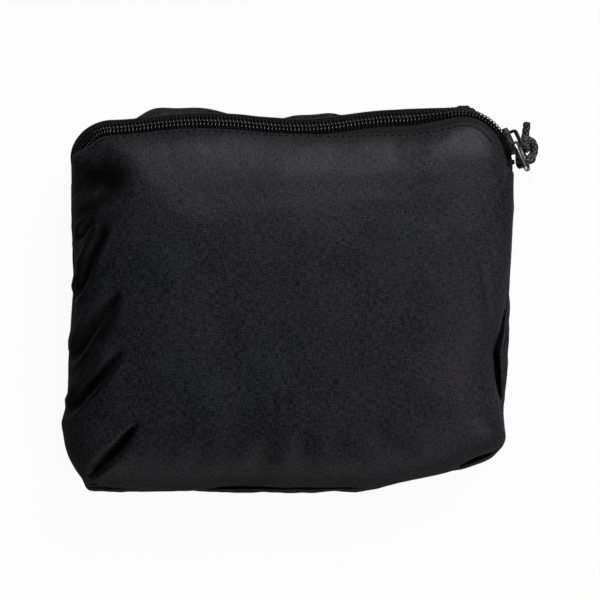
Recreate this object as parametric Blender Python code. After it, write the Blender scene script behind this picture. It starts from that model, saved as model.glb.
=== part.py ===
"""A film changing bag folded away in its zipped pouch, lying on its back with the front panel up."""

import math

import bmesh
import bpy
from mathutils import Matrix, Vector

MM = 0.001
GAP = 0.3 * MM
SEAM_GAP = 0.5 * MM

# Pouch, seen from above: +X right, +Y towards the zip
POUCH_WIDTH = 166.0 * MM
POUCH_HEIGHT = 141.0 * MM
POUCH_DEPTH = 42.0 * MM
CLOTH = 0.6 * MM
TOP_LEFT_INSET = 4.0 * MM
TOP_LEFT_FALL = 6.0 * MM
TOP_LEFT_RADIUS = 14.8 * MM
TOP_RIGHT_RADIUS = 20.8 * MM
TOP_RISE = 1.6 * MM
TOP_SAG = 2.0 * MM
TOP_RISE_SPAN = (0.0, 0.46)
TOP_SAG_SPAN = (0.34, 0.82)
RIGHT_TAPER = 4.5 * MM
RIGHT_RISE = 13.5 * MM
RIGHT_RADIUS = 7.0 * MM
BOTTOM_BREAK = 30.0 * MM
BOTTOM_BREAK_RADIUS = 30.0 * MM
BOTTOM_LEFT_CUT = 9.0 * MM
BOTTOM_LEFT_RADIUS = 3.0 * MM
LEFT_RISE = 25.5 * MM
LEFT_RADIUS = 9.0 * MM
WAIST_INSET = 4.3 * MM
WAIST_LEVEL = 5.0 * MM
WAIST_RADIUS = 60.0 * MM
GUSSET_TOP = 17.0 * MM
GUSSET_FOOT = 4.0 * MM
GUSSET_FRONT_INSET = 2.0 * MM
GUSSET_BACK_INSET = 1.5 * MM
SEAM_EASE = 30.0 * MM
CROWN_POWER = 2.6
SIDE_FULLNESS = 2.2
SIDE_FULL_FROM = 15.0 * MM
SIDE_FULL_OVER = 55.0 * MM
FOOT_FULLNESS = 2.6
FOOT_FULL_FROM = 10.0 * MM
FOOT_FULL_OVER = 50.0 * MM
CROWN_ROWS = 9
OVAL_POWER = 2.4
BACK_ROUND = 9.0 * MM

# Zip of the pouch
ZIP_LEVEL = 21.0 * MM
ZIP_LEAN = math.radians(28.0)
CORNER_LEAN = math.radians(16.0)
LEAN_EASE = 45.0 * MM
ZIP_TAIL = 8.0 * MM
TAPE_HALF = 8.0 * MM
TAPE_INNER = 1.5 * MM
TAPE_THICK = 0.55 * MM
COIL_PITCH = 1.37 * MM
COIL_HALF = 3.0 * MM
COIL_ROOT = 1.9 * MM
COIL_REACH = 0.7 * MM
COIL_HEIGHT = 2.0 * MM
CHAIN_START = 2.0 * MM
STOP_START = 1.0 * MM
STOP_LENGTH = 1.6 * MM
STOP_HEIGHT = 2.0 * MM
STOP_WALL = 0.7 * MM
BOTTOM_STOP_LENGTH = 4.5 * MM

# Slider: its long axis runs along the zip
SLIDER_TURN = math.radians(68.0)
SLIDER_LENGTH = 10.4 * MM
SLIDER_REAR_HALF = 4.6 * MM
SLIDER_MOUTH_HALF = 5.3 * MM
SLIDER_PLATE = 1.0 * MM
SLIDER_TRIM = 0.4 * MM
SLIDER_CORNER = 1.6 * MM
SLIDER_WAIST = 4.0 * MM
SLIDER_SHOULDER = 1.0 * MM
SLIDER_NOSE = 6.0 * MM
FLANGE_REAR = 1.4 * MM
FLANGE_FRONT = 1.8 * MM
FLANGE_TRIM = 0.3 * MM
CHAIN_ROOM = 0.75 * MM
DIVIDER_HALF = 0.75 * MM
DIVIDER_LENGTH = 2.6 * MM
DIVIDER_WIDEST = 0.6
CROWN_LENGTH = 7.1 * MM
CROWN_HALF = 1.1 * MM
CROWN_BAR = 1.1 * MM
CROWN_OPENING = 2.3 * MM
CROWN_MOUTH = 0.6 * MM
CROWN_ROUND = 1.4 * MM
CROWN_INNER_ROUND = 0.5 * MM
CROWN_TIP_ROUND = 0.4 * MM
CROWN_FOOT_ROUND = 0.05 * MM

# Pull loop and cord
LOOP_WIRE = 1.5 * MM
LOOP_LENGTH = 10.5 * MM
LOOP_HALF = 2.9 * MM
LOOP_RADIUS = 2.0 * MM
CORD_WIDTH = 2.7 * MM
CORD_STEPS = 78
KNOT_RIGHT = 1.7 * MM
KNOT_AHEAD = 5.6 * MM
KNOT_HALF_X = 2.6 * MM
KNOT_HALF_Y = 3.6 * MM

# Folded changing bag
FOLD_SIDE_ROOM = 17.0 * MM
FOLD_END_ROOM = 18.5 * MM
FOLD_WIDTH = POUCH_WIDTH - 2.0 * FOLD_SIDE_ROOM
FOLD_DEPTH = POUCH_HEIGHT - 2.0 * FOLD_END_ROOM
FOLD_RUNS = 4
PLY = 2.3 * MM
FOLD_SHIFT = -3.0 * MM
SLEEVE_LENGTH = 78.0 * MM
SLEEVE_SHOULDER = 56.0 * MM
SLEEVE_WRIST = 40.0 * MM
SLEEVE_THICK = 4.6 * MM
SLEEVE_WALL = 0.9 * MM
SLEEVE_SPACE = 6.0 * MM
SLEEVE_SHARE = 0.75
CUFF_LENGTH = 12.0 * MM
CUFF_GATHERS = 14
CUFF_DEPTH = 0.5 * MM
BAG_ZIP_LENGTH = 84.0 * MM
BAG_ZIP_WIDTH = 24.0 * MM
BAG_ZIP_SPACE = 6.0 * MM
BAG_TAPE = 0.7 * MM
BAG_CHAIN_WIDTH = 6.0 * MM
BAG_CHAIN_HEIGHT = 2.0 * MM
BAG_SLIDER_LENGTH = 9.0 * MM
BAG_SLIDER_WALL = 0.9 * MM
BAG_PULL_LENGTH = 20.0 * MM
BAG_PULL_WIDTH = 6.0 * MM
BAG_PULL_THICK = 1.0 * MM

NYLON = (0.018, 0.017, 0.019)
TAPE_BLACK = (0.012, 0.012, 0.014)
COIL_BLACK = (0.010, 0.010, 0.012)
CAST_BLACK = (0.015, 0.015, 0.017)
NICKEL = (0.55, 0.55, 0.56)
LINING = (0.030, 0.028, 0.030)


def material(name, colour, roughness, metallic):
    made = bpy.data.materials.new(name)
    made.use_nodes = True
    shader = made.node_tree.nodes["Principled BSDF"]
    shader.inputs["Base Color"].default_value = (*colour, 1.0)
    shader.inputs["Roughness"].default_value = roughness
    shader.inputs["Metallic"].default_value = metallic
    return made


def add_object(name, data, looks, place=None, parent=None):
    made = bpy.data.objects.new(name, data)
    bpy.context.scene.collection.objects.link(made)
    made.data.materials.append(material(name + "_material", *looks))
    if parent:
        made.parent = parent
    if place:
        made.matrix_local = place
    return made


def add_empty(name, place, parent=None):
    made = bpy.data.objects.new(name, None)
    bpy.context.scene.collection.objects.link(made)
    made.parent = parent
    made.matrix_local = place
    return made


def mesh_from(name, points, faces, smooth=True, closed=True):
    shape = bmesh.new()
    corners = [shape.verts.new(point) for point in points]
    for face in faces:
        shape.faces.new([corners[index] for index in face])
    if closed:
        bmesh.ops.recalc_face_normals(shape, faces=shape.faces)
    made = bpy.data.meshes.new(name)
    shape.to_mesh(made)
    shape.free()
    if smooth:
        made.shade_smooth()
        made.set_sharp_from_angle(angle=math.radians(40.0))
    return made


def swept(name, rings, smooth=True):
    """Closed mesh through equal rings of points, with both ends filled."""
    count = len(rings[0])
    points = [point for ring in rings for point in ring]
    faces = []
    for row in range(len(rings) - 1):
        for column in range(count):
            after = (column + 1) % count
            low = row * count
            high = low + count
            faces.append((low + column, low + after, high + after, high + column))
    faces.append(range(count))
    faces.append(range((len(rings) - 1) * count, len(rings) * count))
    return mesh_from(name, points, faces, smooth)


def prism(name, outline, low, high, smooth=True):
    """An outline in local X and Z, pushed from low to high along local Y."""
    rings = [[(x, level, z) for x, z in outline] for level in (low, high)]
    return swept(name, rings, smooth)


def arc_of_corner(before, corner, after, radius):
    """Centre, start angle and turn of the arc that rounds one corner."""
    inward = (corner - before).normalized()
    outward = (after - corner).normalized()
    turn = math.atan2(inward.cross(outward), inward.dot(outward))
    side = math.copysign(1.0, turn)
    start = corner - inward * radius * math.tan(abs(turn) / 2)
    to_centre = Vector((-inward.y, inward.x)) * side
    centre = start + to_centre * radius
    angle = math.atan2(-to_centre.y, -to_centre.x)
    return centre, angle, turn


def rounded(corners, step=math.radians(22.5)):
    """Points of a closed outline whose corners (x, z, radius) are rounded by arcs."""
    points = []
    for index, (x, z, radius) in enumerate(corners):
        before = Vector(corners[index - 1][:2])
        after = Vector(corners[(index + 1) % len(corners)][:2])
        centre, angle, turn = arc_of_corner(before, Vector((x, z)), after, radius)
        count = max(1, math.ceil(abs(turn) / step))
        for part in range(count + 1):
            heading = angle + turn * part / count
            points.append((centre.x + radius * math.cos(heading), centre.y + radius * math.sin(heading)))
    return points


def hump(share, span):
    """A smooth bump of height 1 over a span of shares, and 0 outside it."""
    low, high = span
    inside = min(max((share - low) / (high - low), 0.0), 1.0)
    return math.sin(math.pi * inside) ** 2


def top_wave(share):
    """How far the top edge stands out from a straight line: up at the left, sagging past the middle."""
    return TOP_RISE * hump(share, TOP_RISE_SPAN) - TOP_SAG * hump(share, TOP_SAG_SPAN)


TOP_LEFT, TOP_RIGHT, RIGHT_CORNER, _, BOTTOM_LEFT, _, _ = range(7)


class Outline:
    """Largest outline of the pouch, walked clockwise from the left waist, by length."""

    def __init__(self):
        right = POUCH_WIDTH / 2
        top = POUCH_HEIGHT / 2
        corners = (
            (-right + TOP_LEFT_INSET, top - TOP_LEFT_FALL, TOP_LEFT_RADIUS),
            (right, top, TOP_RIGHT_RADIUS),
            (right - RIGHT_TAPER, -top + RIGHT_RISE, RIGHT_RADIUS),
            (BOTTOM_BREAK, -top, BOTTOM_BREAK_RADIUS),
            (-right + BOTTOM_LEFT_CUT, -top, BOTTOM_LEFT_RADIUS),
            (-right, -top + LEFT_RISE, LEFT_RADIUS),
            (-right + WAIST_INSET, WAIST_LEVEL, WAIST_RADIUS),
        )
        self.arcs = []
        self.lines = []
        for index, (x, y, radius) in enumerate(corners):
            before = Vector(corners[index - 1][:2])
            after = Vector(corners[(index + 1) % len(corners)][:2])
            self.arcs.append((*arc_of_corner(before, Vector((x, y)), after, radius), radius))
        self.starts = []
        self.length = 0.0
        for index, (centre, angle, turn, radius) in enumerate(self.arcs):
            last_centre, last_angle, last_turn, last_radius = self.arcs[index - 1]
            last_end = last_angle + last_turn
            begin = last_centre + last_radius * Vector((math.cos(last_end), math.sin(last_end)))
            end = centre + radius * Vector((math.cos(angle), math.sin(angle)))
            self.lines.append((begin, end))
            self.starts.append(self.length)
            self.length += (end - begin).length + abs(turn) * radius

    def line_end(self, index):
        begin, end = self.lines[index]
        return self.starts[index] + (end - begin).length

    def arc_end(self, index):
        return self.line_end(index) + abs(self.arcs[index][2]) * self.arcs[index][3]

    def at(self, distance):
        """Point and outward direction at a length along the outline."""
        distance %= self.length
        index = max(i for i, start in enumerate(self.starts) if start <= distance)
        begin, end = self.lines[index]
        along = distance - self.starts[index]
        span = (end - begin).length
        if along <= span:
            ahead = (end - begin) / span
            outward = Vector((-ahead.y, ahead.x))
            wave = top_wave(along / span) if index == TOP_RIGHT else 0.0
            return begin + ahead * along + outward * wave, outward
        centre, angle, turn, radius = self.arcs[index]
        side = math.copysign(1.0, turn)
        heading = angle + side * (along - span) / radius
        spoke = Vector((math.cos(heading), math.sin(heading)))
        return centre + spoke * radius, spoke * -side

    def stations(self, low, high, line_step=9.0 * MM, arc_step=math.radians(12.0)):
        """Lengths from low to high, closer together where the outline turns."""
        found = [low]
        for lap in (0.0, self.length):
            for index, (_, _, _, radius) in enumerate(self.arcs):
                pieces = ((self.starts[index], self.line_end(index), line_step),
                          (self.line_end(index), self.arc_end(index), arc_step * radius))
                for begin, end, step in pieces:
                    count = max(1, math.ceil((end - begin) / step))
                    found += [lap + begin + (end - begin) * part / count for part in range(count + 1)]
        apart = 0.2 * MM
        inside = sorted(value for value in found if low <= value < high - apart)
        kept = [inside[0]]
        for value in inside[1:]:
            if value - kept[-1] > apart:
                kept.append(value)
        return kept + [high]


OUTLINE = Outline()
ZIP_START = OUTLINE.line_end(TOP_LEFT) - ZIP_TAIL
ZIP_END = OUTLINE.arc_end(TOP_RIGHT) + ZIP_TAIL
SLIDER_AT = OUTLINE.line_end(TOP_RIGHT) + SLIDER_TURN * TOP_RIGHT_RADIUS
TRACK_RADIUS = TOP_RIGHT_RADIUS - TAPE_HALF * math.sin(CORNER_LEAN)


def ease(value):
    value = min(max(value, 0.0), 1.0)
    return value * value * (3.0 - 2.0 * value)


def zip_share(distance):
    """1 beside the zip, falling to 0 along the gussets."""
    half_lap = OUTLINE.length / 2
    middle = (ZIP_START + ZIP_END) / 2
    away = abs((distance - middle + half_lap) % OUTLINE.length - half_lap)
    beyond = away - (ZIP_END - ZIP_START) / 2
    return 1.0 - ease((beyond - ZIP_TAIL) / SEAM_EASE)


def zip_lean(distance):
    """How far the tape leans back from upright: less round the corner where the slider runs."""
    half_lap = OUTLINE.length / 2
    past = (distance - OUTLINE.line_end(TOP_RIGHT) + half_lap) % OUTLINE.length - half_lap
    return ZIP_LEAN + (CORNER_LEAN - ZIP_LEAN) * ease(1.0 + past / LEAN_EASE)


def zip_flat(distance, across, proud):
    """A point of the zip as (out, height) from the outline."""
    lean = zip_lean(distance)
    out = proud * math.cos(lean) - (across + TAPE_HALF) * math.sin(lean)
    return Vector((out, ZIP_LEVEL + across * math.cos(lean) + proud * math.sin(lean)))


def zip_point(distance, across, proud):
    """A point of the zip: across the tape towards the front, and proud of the tape's middle."""
    return seam_point(distance, zip_flat(distance, across, proud))


def seams(distance, clear=0.0):
    """Back and front seam points, each moved apart by clear, as (out, height) from the outline."""
    share = zip_share(distance)
    back_zip = zip_flat(distance, -TAPE_HALF, 0.0)
    front_zip = zip_flat(distance, TAPE_HALF, 0.0)
    back = Vector((-GUSSET_BACK_INSET, GUSSET_FOOT)).lerp(back_zip, share)
    front = Vector((-GUSSET_FRONT_INSET, GUSSET_TOP)).lerp(front_zip, share)
    apart = (front - back).normalized() * clear
    return back - apart, front + apart


def seam_point(distance, flat):
    place, outward = OUTLINE.at(distance)
    moved = place + outward * flat[0]
    return Vector((moved.x, moved.y, flat[1]))


def drawn_in(point, share):
    """Plan place of a rim point moved towards the middle, its corners easing into an oval."""
    angle = math.atan2(point.y * POUCH_WIDTH, point.x * POUCH_HEIGHT)
    oval = Vector((math.cos(angle) * POUCH_WIDTH / 2, math.sin(angle) * POUCH_HEIGHT / 2))
    return point.xy.lerp(oval, 1.0 - share ** OVAL_POWER) * share


def cloth_panel(name, rim, shares, height_of, facing_up):
    """A sheet of cloth from its rim to its middle, thickened inwards."""
    count = len(rim)
    points = []
    for share in shares:
        points += [(*drawn_in(point, share), height_of(point, share)) for point in rim]
    middle = len(points)
    points.append((0.0, 0.0, height_of(rim[0], 0.0)))
    faces = []
    for row in range(len(shares) - 1):
        for column in range(count):
            after = (column + 1) % count
            low = row * count
            high = low + count
            faces.append((low + after, low + column, high + column, high + after))
    last = (len(shares) - 1) * count
    for column in range(count):
        faces.append((last + (column + 1) % count, last + column, middle))
    if not facing_up:
        faces = [face[::-1] for face in faces]
    made = add_object(name, mesh_from(name, points, faces, closed=False), (NYLON, 0.55, 0.0))
    thicken(made, CLOTH)
    return made


def thicken(made, thickness):
    solid = made.modifiers.new("cloth", "SOLIDIFY")
    solid.thickness = thickness
    solid.offset = -1.0
    solid.use_even_offset = True


def fullness(place):
    """Power of the front cloth's crown: soft behind the zip, fuller at the sides and at the foot."""
    side = ease((abs(place.x) - SIDE_FULL_FROM) / SIDE_FULL_OVER)
    foot = ease((-place.y - FOOT_FULL_FROM) / FOOT_FULL_OVER)
    return CROWN_POWER + SIDE_FULLNESS * side + FOOT_FULLNESS * foot


def front_panel():
    lengths = OUTLINE.stations(0.0, OUTLINE.length)[:-1]
    rim = [seam_point(value, seams(value, SEAM_GAP)[1]) for value in lengths]
    shares = [math.cos(math.pi / 2 * row / CROWN_ROWS) for row in range(CROWN_ROWS)]

    def height(point, share):
        crown = math.sqrt(1.0 - share ** fullness(drawn_in(point, share)))
        return point.z + (POUCH_DEPTH - point.z) * crown

    return cloth_panel("front_panel", rim, shares, height, True)


def back_panel():
    lengths = OUTLINE.stations(0.0, OUTLINE.length)[:-1]
    rim = [seam_point(value, seams(value, SEAM_GAP)[0]) for value in lengths]
    turned = 1.0 - BACK_ROUND / (POUCH_HEIGHT / 2)
    rows = 4
    shares = [1.0 - (1.0 - turned) * part / rows for part in range(rows + 1)] + [turned / 2]

    def height(point, share):
        rise = max(0.0, (share - turned) / (1.0 - turned))
        return point.z * (1.0 - math.sqrt(1.0 - rise * rise))

    return cloth_panel("back_panel", rim, shares, height, False)


def gusset(name, low, high):
    """A strip between the two panels, bulging to the outline at half height."""
    columns = 4
    lengths = OUTLINE.stations(low, high)
    points = []
    for value in lengths:
        back, front = seams(value)
        bulge = -(back.x + front.x) / 2 * (1.0 - zip_share(value))
        for column in range(columns + 1):
            share = column / columns
            flat = back.lerp(front, share)
            flat.x += bulge * 4.0 * share * (1.0 - share)
            points.append(seam_point(value, flat))
    faces = []
    width = columns + 1
    for row in range(len(lengths) - 1):
        for column in range(columns):
            corner = row * width + column
            faces.append((corner, corner + 1, corner + width + 1, corner + width))
    made = add_object(name, mesh_from(name, points, faces, closed=False), (NYLON, 0.55, 0.0))
    thicken(made, CLOTH)
    return made


def gussets():
    right_corner = (OUTLINE.line_end(RIGHT_CORNER) + OUTLINE.arc_end(RIGHT_CORNER)) / 2
    left_corner = (OUTLINE.line_end(BOTTOM_LEFT) + OUTLINE.arc_end(BOTTOM_LEFT)) / 2
    half = GAP / 2
    gusset("right_gusset", ZIP_END + half, right_corner - half)
    gusset("bottom_gusset", right_corner + half, left_corner - half)
    gusset("left_gusset", left_corner + half, OUTLINE.length + ZIP_START - half)


def zip_tape(name, side):
    edge = TAPE_THICK / 2
    lengths = OUTLINE.stations(ZIP_START + GAP / 2, ZIP_END - GAP / 2)
    section = ((TAPE_INNER, -edge), (TAPE_HALF, -edge), (TAPE_HALF, edge), (TAPE_INNER, edge))
    rings = [[zip_point(value, side * across, proud) for across, proud in section] for value in lengths]
    add_object(name, swept(name, rings), (TAPE_BLACK, 0.8, 0.0))


def chain_ends():
    """Where the coils start past the bottom stop and end short of the slider's divider."""
    scale = TOP_RIGHT_RADIUS / TRACK_RADIUS
    start = ZIP_START + BOTTOM_STOP_LENGTH + CHAIN_START
    end = SLIDER_AT + (SLIDER_LENGTH / 2 - DIVIDER_LENGTH - COIL_PITCH) * scale
    return start, end


def zip_coil(name, side, shift):
    """One row of the chain: a root strip with a tooth for each turn, half a pitch from the other row."""
    start, end = chain_ends()
    turns = int((end - start) / COIL_PITCH) - 1
    low = TAPE_THICK / 2 + GAP
    levels = (low, low + COIL_HEIGHT)
    points = []
    for turn in range(turns + 1):
        at = start + (turn + shift) * COIL_PITCH
        for proud in levels:
            points.append(zip_point(at, side * COIL_HALF, proud))
            points.append(zip_point(at, side * COIL_ROOT, proud))
        if turn < turns:
            for proud in levels:
                points.append(zip_point(at + COIL_PITCH / 2, -side * COIL_REACH, proud))
    faces = []
    for turn in range(turns):
        base = turn * 6
        outer, root, outer_top, root_top, tip, tip_top = range(base, base + 6)
        next_outer, next_root, next_outer_top, next_root_top = range(base + 6, base + 10)
        faces.append((outer, root, tip, next_root, next_outer))
        faces.append((outer_top, root_top, tip_top, next_root_top, next_outer_top))
        faces.append((outer, outer_top, next_outer_top, next_outer))
        faces.append((root, root_top, tip_top, tip))
        faces.append((tip, tip_top, next_root_top, next_root))
    faces.append((0, 1, 3, 2))
    last = turns * 6
    faces.append((last, last + 1, last + 3, last + 2))
    add_object(name, mesh_from(name, points, faces, smooth=False), (COIL_BLACK, 0.25, 0.0))


def zip_clip(name, section, low, length):
    """A clip of constant section along the zip."""
    steps = 3
    lengths = [low + length * part / steps for part in range(steps + 1)]
    rings = [[zip_point(value, across, proud) for across, proud in section] for value in lengths]
    add_object(name, swept(name, rings, smooth=False), (CAST_BLACK, 0.35, 0.6))


def zip_stops():
    """A clip across both tapes at the left end, and one on each tape's inner edge past the slider."""
    under = -TAPE_THICK / 2 - GAP
    over = TAPE_THICK / 2 + GAP
    web = TAPE_INNER - GAP
    low = under - STOP_WALL
    high = over + STOP_HEIGHT
    both = ((-COIL_HALF, low), (COIL_HALF, low), (COIL_HALF, under), (web, under), (web, over),
            (COIL_HALF, over), (COIL_HALF, high), (-COIL_HALF, high), (-COIL_HALF, over),
            (-web, over), (-web, under), (-COIL_HALF, under))
    zip_clip("zip_bottom_stop", both, ZIP_START + STOP_START, BOTTOM_STOP_LENGTH)
    scale = TOP_RIGHT_RADIUS / TRACK_RADIUS
    past_slider = SLIDER_AT + (SLIDER_LENGTH / 2 + 2.0 * GAP) * scale
    inner = web - STOP_WALL
    for name, side in (("zip_top_stop_front", 1.0), ("zip_top_stop_back", -1.0)):
        hook = ((inner, low), (COIL_HALF, low), (COIL_HALF, under), (web, under),
                (web, over), (COIL_HALF, over), (COIL_HALF, high), (inner, high))
        section = [(side * across, proud) for across, proud in hook]
        zip_clip(name, section, past_slider, STOP_LENGTH)


def slider_frame():
    """Local X along the zip, Y out of the tape and Z across it towards the front."""
    place, outward = OUTLINE.at(SLIDER_AT)
    out = Vector((outward.x, outward.y, 0.0))
    up = Vector((0.0, 0.0, 1.0))
    ahead = out.cross(up)
    proud = out * math.cos(CORNER_LEAN) + up * math.sin(CORNER_LEAN)
    across = up * math.cos(CORNER_LEAN) - out * math.sin(CORNER_LEAN)
    frame = Matrix((ahead, proud, across)).transposed().to_4x4()
    frame.translation = zip_point(SLIDER_AT, 0.0, 0.0)
    return frame


CHANNEL_LOW = -TAPE_THICK / 2 - GAP - CHAIN_ROOM
CHANNEL_HIGH = TAPE_THICK / 2 + 2.0 * GAP + COIL_HEIGHT
PLATE_TOP = CHANNEL_HIGH + SLIDER_PLATE
FLANGE_FOOT = TAPE_THICK / 2 + GAP
LOOP_X = CROWN_LENGTH / 2 - CROWN_BAR - LOOP_WIRE / 2 - GAP
LOOP_Y = PLATE_TOP + CROWN_OPENING / 2


def unite(target, tools):
    for tool in tools:
        tool.parent = target
        tool.hide_render = True
        tool.display_type = "WIRE"
        join = target.modifiers.new(tool.name, "BOOLEAN")
        join.operation = "UNION"
        join.object = tool


def slider_outline(trim=0.0):
    end = SLIDER_LENGTH / 2
    rear = SLIDER_REAR_HALF - trim
    mouth = SLIDER_MOUTH_HALF - trim
    shoulder = end - SLIDER_SHOULDER
    return rounded((
        (-end, -rear, SLIDER_CORNER),
        (0.0, -rear, SLIDER_WAIST),
        (shoulder, -mouth, SLIDER_SHOULDER),
        (end, 0.0, SLIDER_NOSE),
        (shoulder, mouth, SLIDER_SHOULDER),
        (0.0, rear, SLIDER_WAIST),
        (-end, rear, SLIDER_CORNER),
    ))


def flange_outline(side):
    """Side wall of the channel, from the coil's clearance to just inside the plate's edge."""
    back = -SLIDER_LENGTH / 2 + FLANGE_REAR
    front = SLIDER_LENGTH / 2 - FLANGE_FRONT
    inner = COIL_HALF + GAP + CHAIN_ROOM / 2
    rear = SLIDER_REAR_HALF - FLANGE_TRIM / 2
    mouth = SLIDER_MOUTH_HALF - FLANGE_TRIM
    widened = inner + SLIDER_MOUTH_HALF - SLIDER_REAR_HALF
    corners = ((back, inner), (0.0, inner), (front, widened), (front, mouth), (0.0, rear), (back, rear))
    return [(x, side * z) for x, z in corners]


def crown_outline():
    """Side view of the crown: an arch joined to the plate at its mouth end and open at the other."""
    half = CROWN_LENGTH / 2
    foot = PLATE_TOP - SLIDER_PLATE / 2
    inside = PLATE_TOP + CROWN_OPENING
    top = inside + CROWN_BAR
    free = PLATE_TOP + CROWN_MOUTH
    inner = half - CROWN_BAR
    return rounded((
        (half, foot, CROWN_FOOT_ROUND),
        (half, top, CROWN_ROUND),
        (-half, top, CROWN_ROUND),
        (-half, free, CROWN_TIP_ROUND),
        (-inner, free, CROWN_TIP_ROUND),
        (-inner, inside, CROWN_INNER_ROUND),
        (inner, inside, CROWN_INNER_ROUND),
        (inner, foot, CROWN_FOOT_ROUND),
    ), math.radians(30.0))


def zip_slider(travel, frame):
    looks = (CAST_BLACK, 0.3, 0.8)
    local = travel.matrix_world.inverted() @ frame
    body = add_object("zip_slider", prism("zip_slider", slider_outline(), CHANNEL_HIGH, PLATE_TOP),
                      looks, local, travel)
    sunk = SLIDER_PLATE / 2
    lower = prism("slider_lower", slider_outline(SLIDER_TRIM), CHANNEL_LOW - SLIDER_PLATE, CHANNEL_LOW)
    tools = [add_object("slider_lower", lower, looks)]
    for name, side in (("slider_flange_front", 1.0), ("slider_flange_back", -1.0)):
        wall = prism(name, flange_outline(side), FLANGE_FOOT, CHANNEL_HIGH + sunk)
        tools.append(add_object(name, wall, looks))
    end = SLIDER_LENGTH / 2 - SLIDER_TRIM
    start = end - DIVIDER_LENGTH
    wide = start + DIVIDER_LENGTH * DIVIDER_WIDEST
    diamond = ((start, 0.0), (wide, -DIVIDER_HALF), (end, -DIVIDER_HALF / 2),
               (end, DIVIDER_HALF / 2), (wide, DIVIDER_HALF))
    post = prism("slider_divider", diamond, CHANNEL_LOW - sunk, CHANNEL_HIGH + sunk)
    tools.append(add_object("slider_divider", post, looks))
    arch = [[(x, y, level) for x, y in crown_outline()] for level in (-CROWN_HALF, CROWN_HALF)]
    tools.append(add_object("slider_crown", swept("slider_crown", arch), looks))
    unite(body, tools)
    return body


def tube(name, points, width, looks, cyclic, resolution):
    line = bpy.data.curves.new(name, "CURVE")
    line.dimensions = "3D"
    line.bevel_depth = width / 2
    line.bevel_resolution = resolution
    line.use_fill_caps = True
    spline = line.splines.new("POLY")
    spline.points.add(len(points) - 1)
    for target, point in zip(spline.points, points):
        target.co = (*point, 1.0)
    spline.use_cyclic_u = cyclic
    return add_object(name, line, looks)


def pull_loop(swing):
    """A wire loop round the crown, with its near bar on the swing axis."""
    corners = ((0.0, -LOOP_HALF, LOOP_RADIUS), (LOOP_LENGTH, -LOOP_HALF, LOOP_RADIUS),
               (LOOP_LENGTH, LOOP_HALF, LOOP_RADIUS), (0.0, LOOP_HALF, LOOP_RADIUS))
    points = [(x, 0.0, z) for x, z in rounded(corners)]
    made = tube("pull_loop", points, LOOP_WIRE, (NICKEL, 0.28, 1.0), True, 2)
    made.parent = swing


# Cord points beside the knot's middle, in mm, and turns of the knot as angle, height and share of its size
CORD_TAIL = ((0.4, 10.4, 2.6), (0.0, 7.2, 2.1), (-0.5, 4.2, 2.05), (-1.1, 1.2, 2.05),
             (-1.45, -0.9, 2.05), (-1.1, -2.65, 2.2))
FIRST_TURN = ((-86, 2.5, 1.0), (-62, 2.85, 1.0), (-40, 3.15, 1.0), (-20, 3.45, 1.0), (5, 3.9, 1.0),
              (35, 4.5, 1.0), (65, 5.05, 1.0), (95, 5.5, 1.0), (125, 5.9, 1.0), (152, 6.35, 1.0))
CORD_UP = ((-2.95, 0.3, 7.7), (-3.35, -1.6, 10.3), (-3.6, -3.6, 13.6), (-3.8, -5.2, 16.6))
CORD_DOWN = ((0.7, -4.2, 16.6), (0.5, -4.0, 13.0))
SECOND_TURN = ((-68, 9.9, 1.0), (-40, 8.7, 1.0), (-10, 8.2, 1.0), (18, 8.2, 1.0), (40, 8.4, 0.96),
               (62, 8.65, 0.89), (88, 9.0, 0.77), (118, 9.5, 0.62))
CORD_END = ((-0.95, 0.85, 10.4), (-0.6, -0.15, 11.35), (0.25, -0.6, 12.0))
BAR_TURNS = (0, 45, 90, 135, 180)


def cord_route(frame):
    """Cord points: tail, under and round the knot, up and over the loop's lower bar, down, and round again."""
    bend = LOOP_WIRE / 2 + GAP + CORD_WIDTH / 2
    bar_x = LOOP_X + LOOP_LENGTH - LOOP_WIRE / 2 - 2.0 * GAP - CORD_WIDTH / 2
    bar = frame @ Vector((bar_x, LOOP_Y, -LOOP_HALF))
    knot = Vector((bar.x + KNOT_RIGHT, bar.y + KNOT_AHEAD, 0.0))

    def beside(points):
        return [knot + Vector(point) * MM for point in points]

    def turned(points):
        for degrees, height, share in points:
            angle = math.radians(degrees)
            yield knot + Vector((share * KNOT_HALF_X * math.cos(angle), share * KNOT_HALF_Y * math.sin(angle),
                                 height * MM))

    over = []
    for degrees in BAR_TURNS:
        angle = math.radians(degrees)
        over.append(frame @ Vector((bar_x, LOOP_Y - bend * math.cos(angle), -LOOP_HALF + bend * math.sin(angle))))
    return [*beside(CORD_TAIL), *turned(FIRST_TURN), *beside(CORD_UP), *over, *beside(CORD_DOWN),
            *turned(SECOND_TURN), *beside(CORD_END)]


def smooth_route(route, count):
    """Evenly spaced points on a smooth curve through the route."""
    fine = 24
    dense = []
    for index in range(len(route) - 1):
        before = route[max(index - 1, 0)]
        start = route[index]
        end = route[index + 1]
        after = route[min(index + 2, len(route) - 1)]
        for part in range(fine):
            t = part / fine
            dense.append(0.5 * (2.0 * start + (end - before) * t
                                + (2.0 * before - 5.0 * start + 4.0 * end - after) * t ** 2
                                + (3.0 * start - before - 3.0 * end + after) * t ** 3))
    dense.append(route[-1])
    lengths = [0.0]
    for first, second in zip(dense, dense[1:]):
        lengths.append(lengths[-1] + (second - first).length)
    points = []
    place = 0
    for step in range(count):
        wanted = lengths[-1] * step / (count - 1)
        while place < len(lengths) - 2 and lengths[place + 1] < wanted:
            place += 1
        share = (wanted - lengths[place]) / (lengths[place + 1] - lengths[place])
        points.append(dense[place].lerp(dense[place + 1], min(share, 1.0)))
    return points, lengths[-1]


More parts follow.
